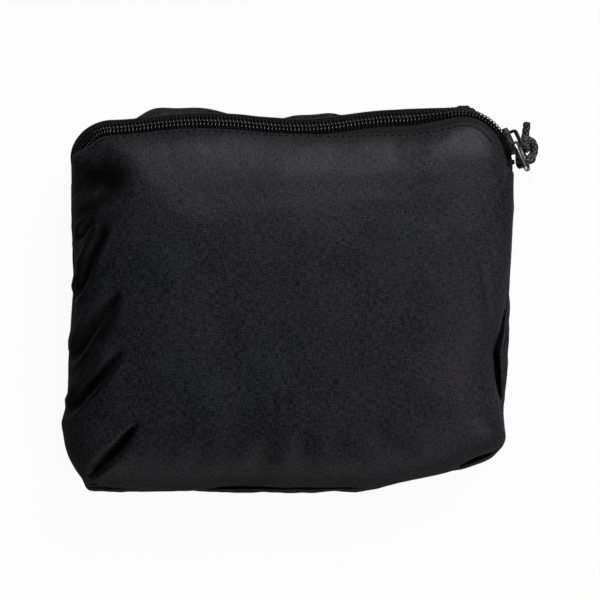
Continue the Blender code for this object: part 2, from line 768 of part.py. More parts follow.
def least_self_gap(points, length):
    """Least gap between stretches of cord that lie more than two widths apart along it."""
    apart = math.ceil(2.4 * CORD_WIDTH / (length / (len(points) - 1)))
    pairs = ((a, b) for i, a in enumerate(points) for b in points[i + apart:])
    return min((a - b).length for a, b in pairs) - CORD_WIDTH


def pull_cord(cord_swing, frame):
    points, length = smooth_route(cord_route(frame), CORD_STEPS)
    print(f"cord length {length / MM:.1f} mm, least gap to itself {least_self_gap(points, length) / MM:.2f} mm")
    to_local = cord_swing.matrix_world.inverted()
    made = tube("pull_cord", [to_local @ point for point in points], CORD_WIDTH, (NYLON, 0.85, 0.0), False, 2)
    made.parent = cord_swing


def zip_head():
    """The slider travels round the top right corner, the loop swings on it and the cord on the loop."""
    frame = slider_frame()
    centre = OUTLINE.arcs[TOP_RIGHT][0]
    travel = add_empty("slider_travel", Matrix.Translation((centre.x, centre.y, ZIP_LEVEL)))
    bpy.context.view_layer.update()
    zip_slider(travel, frame)
    hinge = frame @ Matrix.Translation((LOOP_X, LOOP_Y, 0.0))
    swing = add_empty("pull_swing", travel.matrix_world.inverted() @ hinge, travel)
    pull_loop(swing)
    hang = add_empty("cord_swing", Matrix.Translation((0.0, 0.0, -LOOP_HALF)), swing)
    bpy.context.view_layer.update()
    pull_cord(hang, frame)
    for empty in (travel, swing, hang):
        x, y, z = empty.matrix_world.translation
        print(f"{empty.name} axis at {x:.6f} {y:.6f} {z:.6f}")
    print("along zip", tuple(frame.col[0]), "across tape", tuple(frame.col[2]))


def ribbon(path, side):
    """Outline of one ply that follows the folded path, on one side of it."""
    near = GAP / 2
    far = near + PLY
    edges = []
    for offset in (near, far):
        edges.append([(y + offset * side * ny, z + offset * side * nz) for y, z, ny, nz in path])
    return edges[0] + edges[1][::-1]


def folded_path():
    """Middle line of the zigzag fold, with its normals, from the bottom run to the top run."""
    radius = PLY + GAP
    bottom = CLOTH + GAP + GAP / 2 + PLY
    reach = FOLD_DEPTH / 2 - radius - PLY - GAP
    turn_steps = 8
    path = []
    for run in range(FOLD_RUNS):
        heading = 1.0 if run % 2 == 0 else -1.0
        level = bottom + 2.0 * radius * run
        path.append((-heading * reach, level, 0.0, heading))
        path.append((heading * reach, level, 0.0, heading))
        if run == FOLD_RUNS - 1:
            break
        for part in range(1, turn_steps):
            angle = math.pi * part / turn_steps
            path.append((heading * (reach + radius * math.sin(angle)), level + radius * (1.0 - math.cos(angle)),
                         -math.sin(angle), heading * math.cos(angle)))
    return path


def folded_bags():
    """The two bags lie together, the inner one inside the first fold."""
    path = folded_path()
    for name, side, looks in (("outer_bag", -1.0, (NYLON, 0.6, 0.0)), ("inner_bag", 1.0, (LINING, 0.7, 0.0))):
        outline = ribbon(path, side)
        rings = [[(x, y + FOLD_SHIFT, z) for y, z in outline] for x in (-FOLD_WIDTH / 2, FOLD_WIDTH / 2)]
        add_object(name, swept(name, rings), looks)


FOLD_TOP = CLOTH + GAP + (FOLD_RUNS - 1) * 2.0 * (PLY + GAP) + 2.0 * PLY + GAP


def flat_ring(half_width, thick, gathers=0, depth=0.0):
    """A flattened oval, as (across, height) about its middle, with optional gathers."""
    count = 40
    flat = []
    for step in range(count):
        angle = math.tau * step / count
        swell = 1.0 + (depth / (thick / 2)) * math.cos(gathers * angle) if gathers else 1.0
        across = math.copysign(abs(math.cos(angle)) ** 0.6, math.cos(angle)) * half_width
        height = math.copysign(abs(math.sin(angle)) ** 0.6, math.sin(angle)) * thick / 2 * swell
        flat.append((across, height))
    return flat


def open_tube(name, stations, looks):
    """A flat tube open at both ends, from outer and inner rings at each station."""
    outer = [[(x, y + across, z + height) for across, height in ring] for x, y, z, ring, _ in stations]
    inner = [[(x, y + across, z + height) for across, height in ring] for x, y, z, _, ring in stations]
    loop = outer + inner[::-1]
    count = len(loop[0])
    points = [point for ring in loop for point in ring]
    faces = []
    for row in range(len(loop)):
        low = row * count
        high = (row + 1) % len(loop) * count
        for column in range(count):
            after = (column + 1) % count
            faces.append((low + column, low + after, high + after, high + column))
    add_object(name, mesh_from(name, points, faces), looks)


def sleeves():
    """Two sleeves pressed flat on the fold, shoulder ends together, each ending in a gathered cuff."""
    wall = SLEEVE_WALL
    middle = FOLD_TOP + GAP + SLEEVE_THICK / 2
    for name, cuff_name, side in (("left_sleeve", "left_cuff", -1.0), ("right_sleeve", "right_cuff", 1.0)):
        near = side * SLEEVE_SPACE / 2
        wrist = near + side * (SLEEVE_LENGTH - CUFF_LENGTH - SLEEVE_SPACE - GAP) * SLEEVE_SHARE
        stations = []
        for x, width in ((near, SLEEVE_SHOULDER), (wrist, SLEEVE_WRIST)):
            outer = flat_ring(width / 2, SLEEVE_THICK)
            inner = flat_ring(width / 2 - wall, SLEEVE_THICK - 2.0 * wall)
            stations.append((x, FOLD_SHIFT, middle, outer, inner))
        open_tube(name, stations, (NYLON, 0.6, 0.0))
        cuff = []
        thick = SLEEVE_THICK - 2.0 * CUFF_DEPTH
        for x in (wrist + side * GAP, wrist + side * (GAP + CUFF_LENGTH)):
            outer = flat_ring(SLEEVE_WRIST / 2, thick, CUFF_GATHERS, CUFF_DEPTH)
            inner = flat_ring(SLEEVE_WRIST / 2 - wall, thick - 2.0 * wall - 2.0 * CUFF_DEPTH)
            cuff.append((x, FOLD_SHIFT, middle, outer, inner))
        open_tube(cuff_name, cuff, (NYLON, 0.85, 0.0))


def box_rings(x_low, x_high, y_low, y_high, z_low, z_high):
    square = ((y_low, z_low), (y_high, z_low), (y_high, z_high), (y_low, z_high))
    return [[(x, y, z) for y, z in square] for x in (x_low, x_high)]


def bag_zip(prefix, middle):
    """A closed zip of the folded bag: tape, chain, slider and pull tab, flat on the sleeves."""
    low = FOLD_TOP + GAP + SLEEVE_THICK + GAP
    tape_top = low + BAG_TAPE
    half = BAG_ZIP_LENGTH / 2
    tape = box_rings(-half, half, middle - BAG_ZIP_WIDTH / 2, middle + BAG_ZIP_WIDTH / 2, low, tape_top)
    add_object(prefix + "_tape", swept(prefix + "_tape", tape, False), (TAPE_BLACK, 0.8, 0.0))
    chain_low = tape_top + GAP
    chain_top = chain_low + BAG_CHAIN_HEIGHT
    chain_half = BAG_CHAIN_WIDTH / 2
    inset = half - BAG_SLIDER_LENGTH
    rounding = BAG_CHAIN_HEIGHT * 0.3
    section = rounded(((middle - chain_half, chain_low, rounding), (middle + chain_half, chain_low, rounding),
                       (middle + chain_half, chain_top, rounding), (middle - chain_half, chain_top, rounding)))
    chain = [[(x, y, z) for y, z in section] for x in (-inset, inset)]
    add_object(prefix + "_chain", swept(prefix + "_chain", chain), (COIL_BLACK, 0.3, 0.0))
    slide_half = chain_half + GAP + BAG_SLIDER_WALL
    slide_top = chain_top + GAP + BAG_SLIDER_WALL
    inner = chain_half + GAP
    arch = ((middle - slide_half, chain_low), (middle - inner, chain_low), (middle - inner, chain_top + GAP),
            (middle + inner, chain_top + GAP), (middle + inner, chain_low), (middle + slide_half, chain_low),
            (middle + slide_half, slide_top), (middle - slide_half, slide_top))
    start = inset - BAG_SLIDER_LENGTH
    slider = [[(x, y, z) for y, z in arch] for x in (start, start + BAG_SLIDER_LENGTH)]
    add_object(prefix + "_slider", swept(prefix + "_slider", slider, False), (CAST_BLACK, 0.3, 0.8))
    pull_low = slide_top + GAP
    end = start + BAG_SLIDER_LENGTH - BAG_SLIDER_WALL
    corner = BAG_PULL_WIDTH * 0.3
    tab = rounded(((end - BAG_PULL_LENGTH, middle - BAG_PULL_WIDTH / 2, corner),
                   (end, middle - BAG_PULL_WIDTH / 2, corner),
                   (end, middle + BAG_PULL_WIDTH / 2, corner),
                   (end - BAG_PULL_LENGTH, middle + BAG_PULL_WIDTH / 2, corner)))
    pull = [[(x, y, z) for x, y in tab] for z in (pull_low, pull_low + BAG_PULL_THICK)]
    add_object(prefix + "_pull", swept(prefix + "_pull", pull), (CAST_BLACK, 0.3, 0.8))


def build():
    for old in list(bpy.data.objects):
        bpy.data.objects.remove(old, do_unlink=True)
    front_panel()
    back_panel()
    gussets()
    zip_tape("zip_tape_front", 1.0)
    zip_tape("zip_tape_back", -1.0)
    zip_coil("zip_coil_front", 1.0, 0.0)
    zip_coil("zip_coil_back", -1.0, 0.5)
    zip_stops()
    zip_head()
    folded_bags()
    sleeves()
    aside = (BAG_ZIP_WIDTH + BAG_ZIP_SPACE) / 2
    bag_zip("outer_zip", FOLD_SHIFT + aside)
    bag_zip("inner_zip", FOLD_SHIFT - aside)


build()
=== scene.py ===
"""A film changing bag folded away in its zipped pouch, on a white table, seen from straight above."""

import math

import bpy
import numpy as np
from mathutils import Matrix, Vector, noise
from mathutils.bvhtree import BVHTree


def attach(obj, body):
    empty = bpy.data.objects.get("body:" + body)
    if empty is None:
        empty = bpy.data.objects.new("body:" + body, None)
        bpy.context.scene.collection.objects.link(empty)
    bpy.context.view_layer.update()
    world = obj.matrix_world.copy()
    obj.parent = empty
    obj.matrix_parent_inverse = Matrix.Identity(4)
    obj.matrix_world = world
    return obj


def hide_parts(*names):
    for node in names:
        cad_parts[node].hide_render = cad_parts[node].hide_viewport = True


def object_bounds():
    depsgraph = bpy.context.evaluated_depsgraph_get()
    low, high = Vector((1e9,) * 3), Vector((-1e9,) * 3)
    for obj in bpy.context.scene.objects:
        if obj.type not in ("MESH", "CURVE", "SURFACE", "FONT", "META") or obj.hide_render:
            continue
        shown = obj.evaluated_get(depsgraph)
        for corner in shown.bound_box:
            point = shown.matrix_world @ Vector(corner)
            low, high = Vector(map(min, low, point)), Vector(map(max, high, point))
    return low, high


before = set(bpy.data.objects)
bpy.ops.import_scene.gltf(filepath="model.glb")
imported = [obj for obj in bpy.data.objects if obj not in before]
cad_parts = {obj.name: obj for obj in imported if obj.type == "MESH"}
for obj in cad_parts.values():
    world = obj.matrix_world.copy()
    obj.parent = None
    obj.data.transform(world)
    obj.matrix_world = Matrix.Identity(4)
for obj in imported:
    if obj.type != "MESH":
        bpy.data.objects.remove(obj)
cad_low, cad_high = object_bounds()

MM = 0.001

# Pouch outline from above, as in the CAD source
POUCH_WIDTH = 166.0 * MM
POUCH_HEIGHT = 141.0 * MM
POUCH_DEPTH = 42.0 * MM
CLOTH = 0.6 * MM
TOP_RISE = 1.6 * MM
TOP_SAG = 2.0 * MM
TOP_RISE_SPAN = (0.0, 0.46)
TOP_SAG_SPAN = (0.34, 0.82)
GUSSET_TOP = 17.0 * MM
GUSSET_FOOT = 4.0 * MM
GUSSET_BACK_INSET = 1.5 * MM
SEAM_EASE = 30.0 * MM
CROWN_POWER = 2.6
SIDE_FULLNESS = 2.2
SIDE_FULL_FROM = 15.0 * MM
SIDE_FULL_OVER = 55.0 * MM
FOOT_FULLNESS = 2.6
FOOT_FULL_FROM = 10.0 * MM
FOOT_FULL_OVER = 50.0 * MM
FOOT_LEAST = 0.3
FOOT_REST = 0.7
OVAL_POWER = 2.4
BACK_ROUND = 9.0 * MM
SEAM_TURN = 1.6 * MM
SEAM_ROOM = 0.25 * MM
SEAM_GAP = 0.04 * MM
SEAM_DRAWN = 0.9 * MM
HEM_PRESSED = 5.0 * MM
HEM_PRESSED_SHARE = 0.8
EDGE_SOFTEN = 3.0 * MM
WALL_SHARE = 0.8
TUCK_AT = 0.035
TUCK_REACH = 0.025
TUCK_DEPTH = 5.0 * MM
TUCK_IN = 0.8 * MM
PUFF_AT = 0.2
PUFF_REACH = 0.25
PUFF_RISE = 7.0 * MM
OPEN_FROM = 1.0 * MM
OPEN_OVER = 4.0 * MM
GUSSET_COLUMNS = 60
GUSSET_ROW = 1.1 * MM
WAVE_SIZE = (9.0 * MM, 14.0 * MM)
WAVE_HEIGHT = 0.5
FINE_SIZE = (3.5 * MM, 7.0 * MM)
FINE_HEIGHT = 0.2
GUSSET_ZIP_REACH = 0.3 * MM
GUSSET_DRAWN = 1.1 * MM
GUSSET_DRAWN_SHARE = 0.09
END_ROWS = 6.0

# Zip, its leaning tapes and the hems beside it
ZIP_LEVEL = 21.0 * MM
ZIP_LEAN = math.radians(48.0)
CORNER_LEAN = math.radians(16.0)
LEAN_EASE = 32.0 * MM
LEAN_PAST = 13.0 * MM
ZIP_BEND = math.radians(40.0)
ZIP_INSET = 3.6 * MM
ZIP_TAIL = 8.0 * MM
TUCKED_FROM = 4.5 * MM
TUCKED_BEND = math.radians(85.0)
TAIL_INSET = 1.5 * MM
TAIL_OVER = 15.0 * MM
TAPE_HALF = 8.0 * MM
TAPE_INNER = 1.5 * MM
BACK_TAPE = 6.0 * MM
TAPE_THICK = 0.55 * MM
COIL_PITCH = 1.37 * MM
COIL_OUTER = 2.95 * MM
COIL_HEAD = -0.62 * MM
COIL_MIDDLE = 1.55 * MM
COIL_RISE = 0.72 * MM
COIL_STRAND = 0.64 * MM
BOTTOM_STOP_LENGTH = 4.5 * MM
HEM_EDGE = 6.6 * MM
BACK_HEM = (4.2 * MM, 6.9 * MM)
BACK_HEM_PROUD = (0.3 * MM, 0.95 * MM)
HEM_PROUD = 1.7 * MM
HEM_CLOSE = 3.4 * MM
HEM_CLOSE_PROUD = 1.8 * MM
HEM_OPENS = (57.0 * MM, 21.0 * MM)
HEM_COVER = (1.0 * MM, -2.5 * MM)
HEM_COVER_EASE = (9.0 * MM, 5.5 * MM)
HEM_COVER_DROP = 4.0 * MM
STITCH_PITCH = 2.55 * MM
STITCH_LENGTH = 2.05 * MM
STITCH_WIDTH = 0.5 * MM

# Slider, pull loop and cord
SLIDER_TURN = math.radians(68.0)
SLIDER_LENGTH = 10.4 * MM
DIVIDER_LENGTH = 2.6 * MM
SLIDER_WELD = 0.005 * MM
SLIDER_FLAT = math.radians(2.0)
SLIDER_BEVEL = 0.16 * MM
SLIDER_EDGE = math.radians(40.0)
SLIDER_SMOOTH = math.radians(35.0)
TOP_RIGHT_RADIUS = 20.8 * MM
GAP = 0.3 * MM
LOOP_WIRE = 1.5 * MM
LOOP_LENGTH = 10.5 * MM
LOOP_HALF = 2.9 * MM
LOOP_RADIUS = 2.0 * MM
LOOP_X = 1.4 * MM
LOOP_Y = 5.025 * MM
LOOP_PARTS = 8
CORD_WIDTH = 2.7 * MM
PLAIT_WIDTH = 2.9 * MM
KNOT_RIGHT = 1.7 * MM
KNOT_AHEAD = 5.6 * MM
KNOT_HALF_X = 2.6 * MM
KNOT_HALF_Y = 3.6 * MM

# Camera
VIEW_WIDTH = 219.0 * MM
VIEW_X = 4.745 * MM
VIEW_DISTANCE = 0.9
SENSOR = 36.0


def ease(value):
    value = np.clip(value, 0.0, 1.0)
    return value * value * (3.0 - 2.0 * value)


def arc_of_corner(before, corner, after, radius):
    """Centre, start angle and turn of the arc that rounds one corner."""
    inward = (corner - before).normalized()
    outward = (after - corner).normalized()
    turn = math.atan2(inward.cross(outward), inward.dot(outward))
    side = math.copysign(1.0, turn)
    start = corner - inward * radius * math.tan(abs(turn) / 2)
    to_centre = Vector((-inward.y, inward.x)) * side
    centre = start + to_centre * radius
    return centre, math.atan2(-to_centre.y, -to_centre.x), turn


def hump(share, span):
    """A smooth bump of height 1 over a span of shares, and 0 outside it."""
    low, high = span
    inside = min(max((share - low) / (high - low), 0.0), 1.0)
    return math.sin(math.pi * inside) ** 2


def top_wave(share):
    """How far the top edge stands out from a straight line: up at the left, sagging past the middle."""
    return TOP_RISE * hump(share, TOP_RISE_SPAN) - TOP_SAG * hump(share, TOP_SAG_SPAN)


# Corners where pieces begin or end, by their place in the outline's list
TOP_LEFT, TOP_RIGHT, RIGHT_CORNER, BOTTOM_LEFT = 0, 1, 2, 4


class Outline:
    """Largest outline of the pouch, walked clockwise from the left waist, by length."""

    corners = ((-79.0, 64.5, 14.8), (83.0, 70.5, 20.8), (78.5, -57.0, 7.0), (30.0, -70.5, 30.0),
               (-74.0, -70.5, 3.0), (-83.0, -45.0, 9.0), (-78.7, 5.0, 60.0))

    def __init__(self):
        places = [Vector((x, y)) * MM for x, y, _ in self.corners]
        radii = [radius * MM for _, _, radius in self.corners]
        count = len(places)
        self.arcs = []
        for i in range(count):
            arc = arc_of_corner(places[i - 1], places[i], places[(i + 1) % count], radii[i])
            self.arcs.append((*arc, radii[i]))
        self.lines = []
        self.starts = []
        self.length = 0.0
        for i, (centre, angle, turn, radius) in enumerate(self.arcs):
            last_centre, last_angle, last_turn, last_radius = self.arcs[i - 1]
            last_end = last_angle + last_turn
            begin = last_centre + last_radius * Vector((math.cos(last_end), math.sin(last_end)))
            end = centre + radius * Vector((math.cos(angle), math.sin(angle)))
            self.lines.append((begin, end))
            self.starts.append(self.length)
            self.length += (end - begin).length + abs(turn) * radius

    def line_end(self, index):
        begin, end = self.lines[index]
        return self.starts[index] + (end - begin).length

    def arc_end(self, index):
        return self.line_end(index) + abs(self.arcs[index][2]) * self.arcs[index][3]

    def at(self, distance):
        """Point and outward direction at a length along the outline."""
        distance %= self.length
        index = max(i for i, start in enumerate(self.starts) if start <= distance)
        begin, end = self.lines[index]
        along = distance - self.starts[index]
        span = (end - begin).length
        if along <= span:
            ahead = (end - begin) / span
            outward = Vector((-ahead.y, ahead.x))
            wave = top_wave(along / span) if index == TOP_RIGHT else 0.0
            return begin + ahead * along + outward * wave, outward
        centre, angle, turn, radius = self.arcs[index]
        side = math.copysign(1.0, turn)
        heading = angle + side * (along - span) / radius
        spoke = Vector((math.cos(heading), math.sin(heading)))
        return centre + spoke * radius, spoke * -side


OUTLINE = Outline()
ZIP_START = OUTLINE.line_end(TOP_LEFT) - ZIP_TAIL
ZIP_END = OUTLINE.arc_end(TOP_RIGHT) + ZIP_TAIL
SLIDER_AT = OUTLINE.line_end(TOP_RIGHT) + SLIDER_TURN * TOP_RIGHT_RADIUS
TRACK_RADIUS = TOP_RIGHT_RADIUS - TAPE_HALF * math.sin(CORNER_LEAN)


def around(distance, middle):
    """Signed length along the outline from middle, the short way round."""
    half = OUTLINE.length / 2
    return (distance - middle + half) % OUTLINE.length - half


def zip_share(distance):
    """1 beside the zip, falling to 0 along the gussets."""
    middle = (ZIP_START + ZIP_END) / 2
    beyond = abs(around(distance, middle)) - (ZIP_END - ZIP_START) / 2
    return 1.0 - float(ease((beyond - ZIP_TAIL) / SEAM_EASE))


def corner_share(distance):
    """0 along the top, rising to 1 round the corner where the slider runs."""
    return float(ease(1.0 + around(distance, OUTLINE.line_end(TOP_RIGHT) + LEAN_PAST) / LEAN_EASE))


def zip_flat(distance, across, proud):
    """A point of the zip as (out, height) from the outline.

    The tape is arched over the edge, but flat at the corner, where its front edge is folded over.
    """
    corner = corner_share(distance)
    lean = ZIP_LEAN + (CORNER_LEAN - ZIP_LEAN) * corner
    inset = ZIP_INSET + (TAPE_HALF * math.sin(CORNER_LEAN) - ZIP_INSET) * corner
    inset += TAIL_INSET * float(ease(1.0 - around(distance, ZIP_START) / TAIL_OVER))
    curve = max(ZIP_BEND * (1.0 - corner), 1e-4) / (2.0 * TAPE_HALF)
    flat = min(across, TUCKED_FROM)
    turned = lean + curve * flat
    out = (math.cos(turned) - math.cos(lean)) / curve - inset
    high = (math.sin(turned) - math.sin(lean)) / curve + ZIP_LEVEL
    if across > flat:
        curve = curve + corner * TUCKED_BEND / (TAPE_HALF - TUCKED_FROM)
        over = turned + curve * (across - flat)
        out += (math.cos(over) - math.cos(turned)) / curve
        high += (math.sin(over) - math.sin(turned)) / curve
        turned = over
    return out + proud * math.cos(turned), high + proud * math.sin(turned)


def zip_point(distance, across, proud):
    """A point of the zip: across the tape towards the front, and proud of the tape's middle."""
    place, outward = OUTLINE.at(distance)
    out, high = zip_flat(distance, across, proud)
    flat = place + outward * out
    return Vector((flat.x, flat.y, high))


def slider_frame():
    """Local X along the zip, Y out of the tape and Z across it towards the front."""
    _, outward = OUTLINE.at(SLIDER_AT)
    out = Vector((outward.x, outward.y, 0.0))
    up = Vector((0.0, 0.0, 1.0))
    lean_cos, lean_sin = math.cos(CORNER_LEAN), math.sin(CORNER_LEAN)
    made = Matrix((out.cross(up), out * lean_cos + up * lean_sin, up * lean_cos - out * lean_sin))
    made = made.transposed().to_4x4()
    made.translation = zip_point(SLIDER_AT, 0.0, 0.0)
    return made


# Finishes


class Finish:
    """A node material built up by short calls."""

    def __init__(self, name):
        self.made = bpy.data.materials.new(name)
        self.made.use_nodes = True
        self.tree = self.made.node_tree
        self.shader = self.tree.nodes["Principled BSDF"]

    def node(self, kind, **settings):
        made = self.tree.nodes.new(kind)
        for key, value in settings.items():
            setattr(made, key, value)
        return made

    def join(self, source, target):
        self.tree.links.new(source, target)

    def fill(self, socket, value):
        if isinstance(value, bpy.types.NodeSocket):
            self.join(value, socket)
        else:
            socket.default_value = value

    def place(self, uv=None):
        if uv:
            return self.node("ShaderNodeUVMap", uv_map=uv).outputs["UV"]
        return self.node("ShaderNodeTexCoord").outputs["Object"]

    def stretched(self, vector, scale, turn=0.0):
        mapping = self.node("ShaderNodeMapping")
        self.join(vector, mapping.inputs["Vector"])
        mapping.inputs["Scale"].default_value = scale
        mapping.inputs["Rotation"].default_value = (0.0, 0.0, turn)
        return mapping.outputs["Vector"]

    def noise(self, vector, scale, detail=3.0, roughness=0.55, distortion=0.0):
        made = self.node("ShaderNodeTexNoise")
        self.join(vector, made.inputs["Vector"])
        made.inputs["Scale"].default_value = scale
        made.inputs["Detail"].default_value = detail
        made.inputs["Roughness"].default_value = roughness
        made.inputs["Distortion"].default_value = distortion
        return made.outputs["Fac"]

    def math(self, operation, *values):
        made = self.node("ShaderNodeMath", operation=operation)
        for socket, value in zip(made.inputs, values):
            self.fill(socket, value)
        return made.outputs["Value"]

    def range(self, value, low, high, to_low, to_high):
        made = self.node("ShaderNodeMapRange")
        for socket, entry in zip(made.inputs, (value, low, high, to_low, to_high)):
            self.fill(socket, entry)
        return made.outputs["Result"]

    def tint(self, factor, first, second):
        made = self.node("ShaderNodeMix", data_type="RGBA")
        self.fill(made.inputs["Factor"], factor)
        self.fill(made.inputs["A"], (*first, 1.0) if isinstance(first, tuple) else first)
        self.fill(made.inputs["B"], (*second, 1.0) if isinstance(second, tuple) else second)
        return made.outputs["Result"]

    def axes(self, vector):
        made = self.node("ShaderNodeSeparateXYZ")
        self.join(vector, made.inputs["Vector"])
        return made.outputs["X"], made.outputs["Y"], made.outputs["Z"]

    def threads(self, value, pitch):
        """Rounded threads, 0 to 1, at one pitch along a value."""
        turned = self.math("MULTIPLY", value, math.tau / pitch)
        return self.range(self.math("SINE", turned), -1.0, 1.0, 0.0, 1.0)

    def relief(self, height, depth, strength=1.0, under=None):
        made = self.node("ShaderNodeBump")
        made.inputs["Strength"].default_value = strength
        made.inputs["Distance"].default_value = depth
        self.join(height, made.inputs["Height"])
        if under:
            self.join(under, made.inputs["Normal"])
        return made.outputs["Normal"]

    def set(self, **values):
        names = {"colour": "Base Color", "roughness": "Roughness", "metallic": "Metallic", "normal": "Normal",
                 "sheen": "Sheen Weight", "sheen_roughness": "Sheen Roughness",
                 "specular": "Specular IOR Level", "coat": "Coat Weight", "coat_roughness": "Coat Roughness"}
        for key, value in values.items():
            self.fill(self.shader.inputs[names[key]], value)
        return self.made


def crinkled_nylon(name, dark, light, shine):
    """Fine plain weave with a crinkled surface, darker and lighter threads and a soft sheen, and painted
    shade where the fold_shade attribute darkens its colour to near black in the folds.
    """
    look = Finish(name)
    uv = look.place("cloth")
    space = look.place()
    across, along, _ = look.axes(uv)
    warp = look.threads(across, 0.52 * MM)
    weft = look.threads(along, 0.46 * MM)
    weave = look.math("MAXIMUM", warp, weft)
    slub_across = look.noise(look.stretched(uv, (2600.0, 420.0, 1.0)), 1.0, 2.0)
    slub_along = look.noise(look.stretched(uv, (420.0, 2600.0, 1.0)), 1.0, 2.0)
    slub = look.math("ADD", slub_across, slub_along)
    mottle = look.noise(space, 55.0, 4.0, 0.6)
    shade = look.range(look.math("ADD", slub, look.math("MULTIPLY", mottle, 0.16)), 0.93, 1.23, 0.0, 1.0)
    crinkle = look.noise(space, 1700.0, 3.0, 0.6, 0.4)
    crease = look.noise(space, 180.0, 3.0, 0.5, 1.2)
    soft = look.relief(crease, 0.3 * MM, 0.3)
    fine = look.relief(crinkle, 0.16 * MM, 0.9, soft)
    woven = look.relief(weave, 0.02 * MM, 0.4, fine)
    hue = look.range(look.noise(space, 16.0, 2.0), 0.38, 0.62, 0.0, 1.0)
    # Painted shade: the fold_shade attribute darkens the cloth's colour to near black in the left folds and
    # the corner slit
    folded = look.node("ShaderNodeAttribute", attribute_name="fold_shade").outputs["Fac"]
    thread = look.tint(shade, dark, look.tint(hue, *light))
    return look.set(colour=look.tint(look.math("MULTIPLY", folded, 0.95), thread, (0.0008, 0.0008, 0.0012)),
                    roughness=look.range(mottle, 0.3, 0.7, shine - 0.07, shine + 0.08),
                    normal=woven, sheen=0.03, sheen_roughness=0.3, specular=0.2)


def woven_tape(name):
    """Zip tape in a fine herringbone twill."""
    look = Finish(name)
    across, along, _ = look.axes(look.place("cloth"))
    zigzag = look.math("PINGPONG", along, 1.5 * MM)
    slanted = look.math("ADD", across, zigzag)
    twill = look.threads(slanted, 1.0 * MM)
    cross = look.threads(along, 0.55 * MM)
    height = look.math("ADD", look.math("MULTIPLY", twill, 0.75), look.math("MULTIPLY", cross, 0.25))
    fuzz = look.noise(look.place(), 1500.0, 3.0)
    shade = look.math("MULTIPLY", height, look.range(fuzz, 0.3, 0.7, 0.5, 1.0))
    crest = look.math("POWER", shade, 1.6)
    return look.set(colour=look.tint(crest, (0.0004, 0.0004, 0.0005), (0.026, 0.027, 0.027)),
                    roughness=0.78, normal=look.relief(height, 0.25 * MM, 1.0),
                    sheen=0.02, sheen_roughness=0.4, specular=0.25)


def coil_plastic(name):
    """Black drawn monofilament, glossy, with faint rubbed streaks."""
    look = Finish(name)
    streak = look.noise(look.place(), 900.0, 3.0)
    return look.set(colour=look.tint(streak, (0.0015, 0.0015, 0.002), (0.006, 0.006, 0.007)),
                    roughness=look.range(streak, 0.3, 0.7, 0.16, 0.25), specular=0.55,
                    normal=look.relief(streak, 0.03 * MM, 0.4))


def sewing_thread(name):
    """Black spun thread, dull, with a slanted twist."""
    look = Finish(name)
    twist = look.noise(look.stretched(look.place(), (2500.0, 2500.0, 2500.0), 0.6), 1.0, 2.0)
    return look.set(colour=look.tint(twist, (0.0012, 0.0012, 0.0015), (0.005, 0.005, 0.006)),
                    roughness=0.85, normal=look.relief(twist, 0.05 * MM, 0.8), specular=0.12)


def cast_metal(name):
    """Black enamel over cast metal, rubbed to grey on raised grains."""
    look = Finish(name)
    space = look.place()
    grain = look.noise(space, 1800.0, 4.0)
    worn = look.range(look.noise(space, 420.0, 5.0, 0.65), 0.56, 0.72, 0.0, 1.0)
    return look.set(colour=look.tint(worn, (0.006, 0.006, 0.007), (0.09, 0.09, 0.095)),
                    roughness=look.range(grain, 0.3, 0.7, 0.22, 0.36),
                    metallic=look.math("MULTIPLY", worn, 0.8),
                    normal=look.relief(grain, 0.03 * MM, 0.5), coat=0.3, coat_roughness=0.15)


def nickel_wire(name):
    """Bright nickel plate with drawn scratches and dull patches."""
    look = Finish(name)
    space = look.place()
    scratch = look.noise(look.stretched(space, (900.0, 900.0, 7000.0)), 1.0, 2.0)
    dull = look.noise(space, 500.0, 4.0)
    return look.set(colour=look.tint(dull, (0.42, 0.42, 0.43), (0.68, 0.68, 0.69)), metallic=1.0,
                    roughness=look.range(dull, 0.3, 0.7, 0.16, 0.34),
                    normal=look.relief(scratch, 0.01 * MM, 0.5))


def ribbed_elastic(name):
    """Knitted elastic in fine ribs."""
    look = Finish(name)
    across, along, _ = look.axes(look.place("cloth"))
    ribs = look.threads(across, 1.1 * MM)
    stitches = look.threads(along, 0.8 * MM)
    height = look.math("ADD", look.math("MULTIPLY", ribs, 0.7), look.math("MULTIPLY", stitches, 0.3))
    return look.set(colour=look.tint(height, (0.002, 0.002, 0.0025), (0.018, 0.018, 0.02)), roughness=0.8,
                    normal=look.relief(height, 0.25 * MM, 0.9), specular=0.2)


def braided_cord(name):
    """Plaited black polyester, each strand with its own filaments, and a painted highlight that lightens the
    colour on each strand's crest.
    """
    look = Finish(name)
    strand = look.node("ShaderNodeAttribute", attribute_name="plait").outputs["Fac"]
    filament = look.noise(look.place(), 2600.0, 3.0)
    # Painted highlight: the colour turns light grey on the crest of each strand, standing in for glints on
    # the filaments
    crown = look.math("POWER", strand, 7.0)
    shade = look.math("MULTIPLY", crown, look.range(filament, 0.3, 0.7, 0.2, 1.0))
    return look.set(colour=look.tint(shade, (0.0008, 0.0008, 0.001), (0.2, 0.204, 0.2)), roughness=0.5,
                    normal=look.relief(filament, 0.08 * MM, 0.8), specular=0.25)


NYLON = crinkled_nylon("pouch_nylon", (0.0030, 0.0029, 0.0036),
                       ((0.0215, 0.0226, 0.0262), (0.0242, 0.0214, 0.0262)), 0.46)
LINING = crinkled_nylon("lining_cloth", (0.0026, 0.0026, 0.0028),
                        ((0.012, 0.012, 0.0125), (0.0128, 0.012, 0.0128)), 0.6)
ELASTIC = ribbed_elastic("cuff_elastic")
TAPE = woven_tape("zip_tape_twill")
COIL = coil_plastic("zip_coil_filament")
THREAD = sewing_thread("black_thread")
CAST = cast_metal("black_cast_metal")
NICKEL = nickel_wire("nickel_wire")
BRAID = braided_cord("braided_cord")


# Pieces


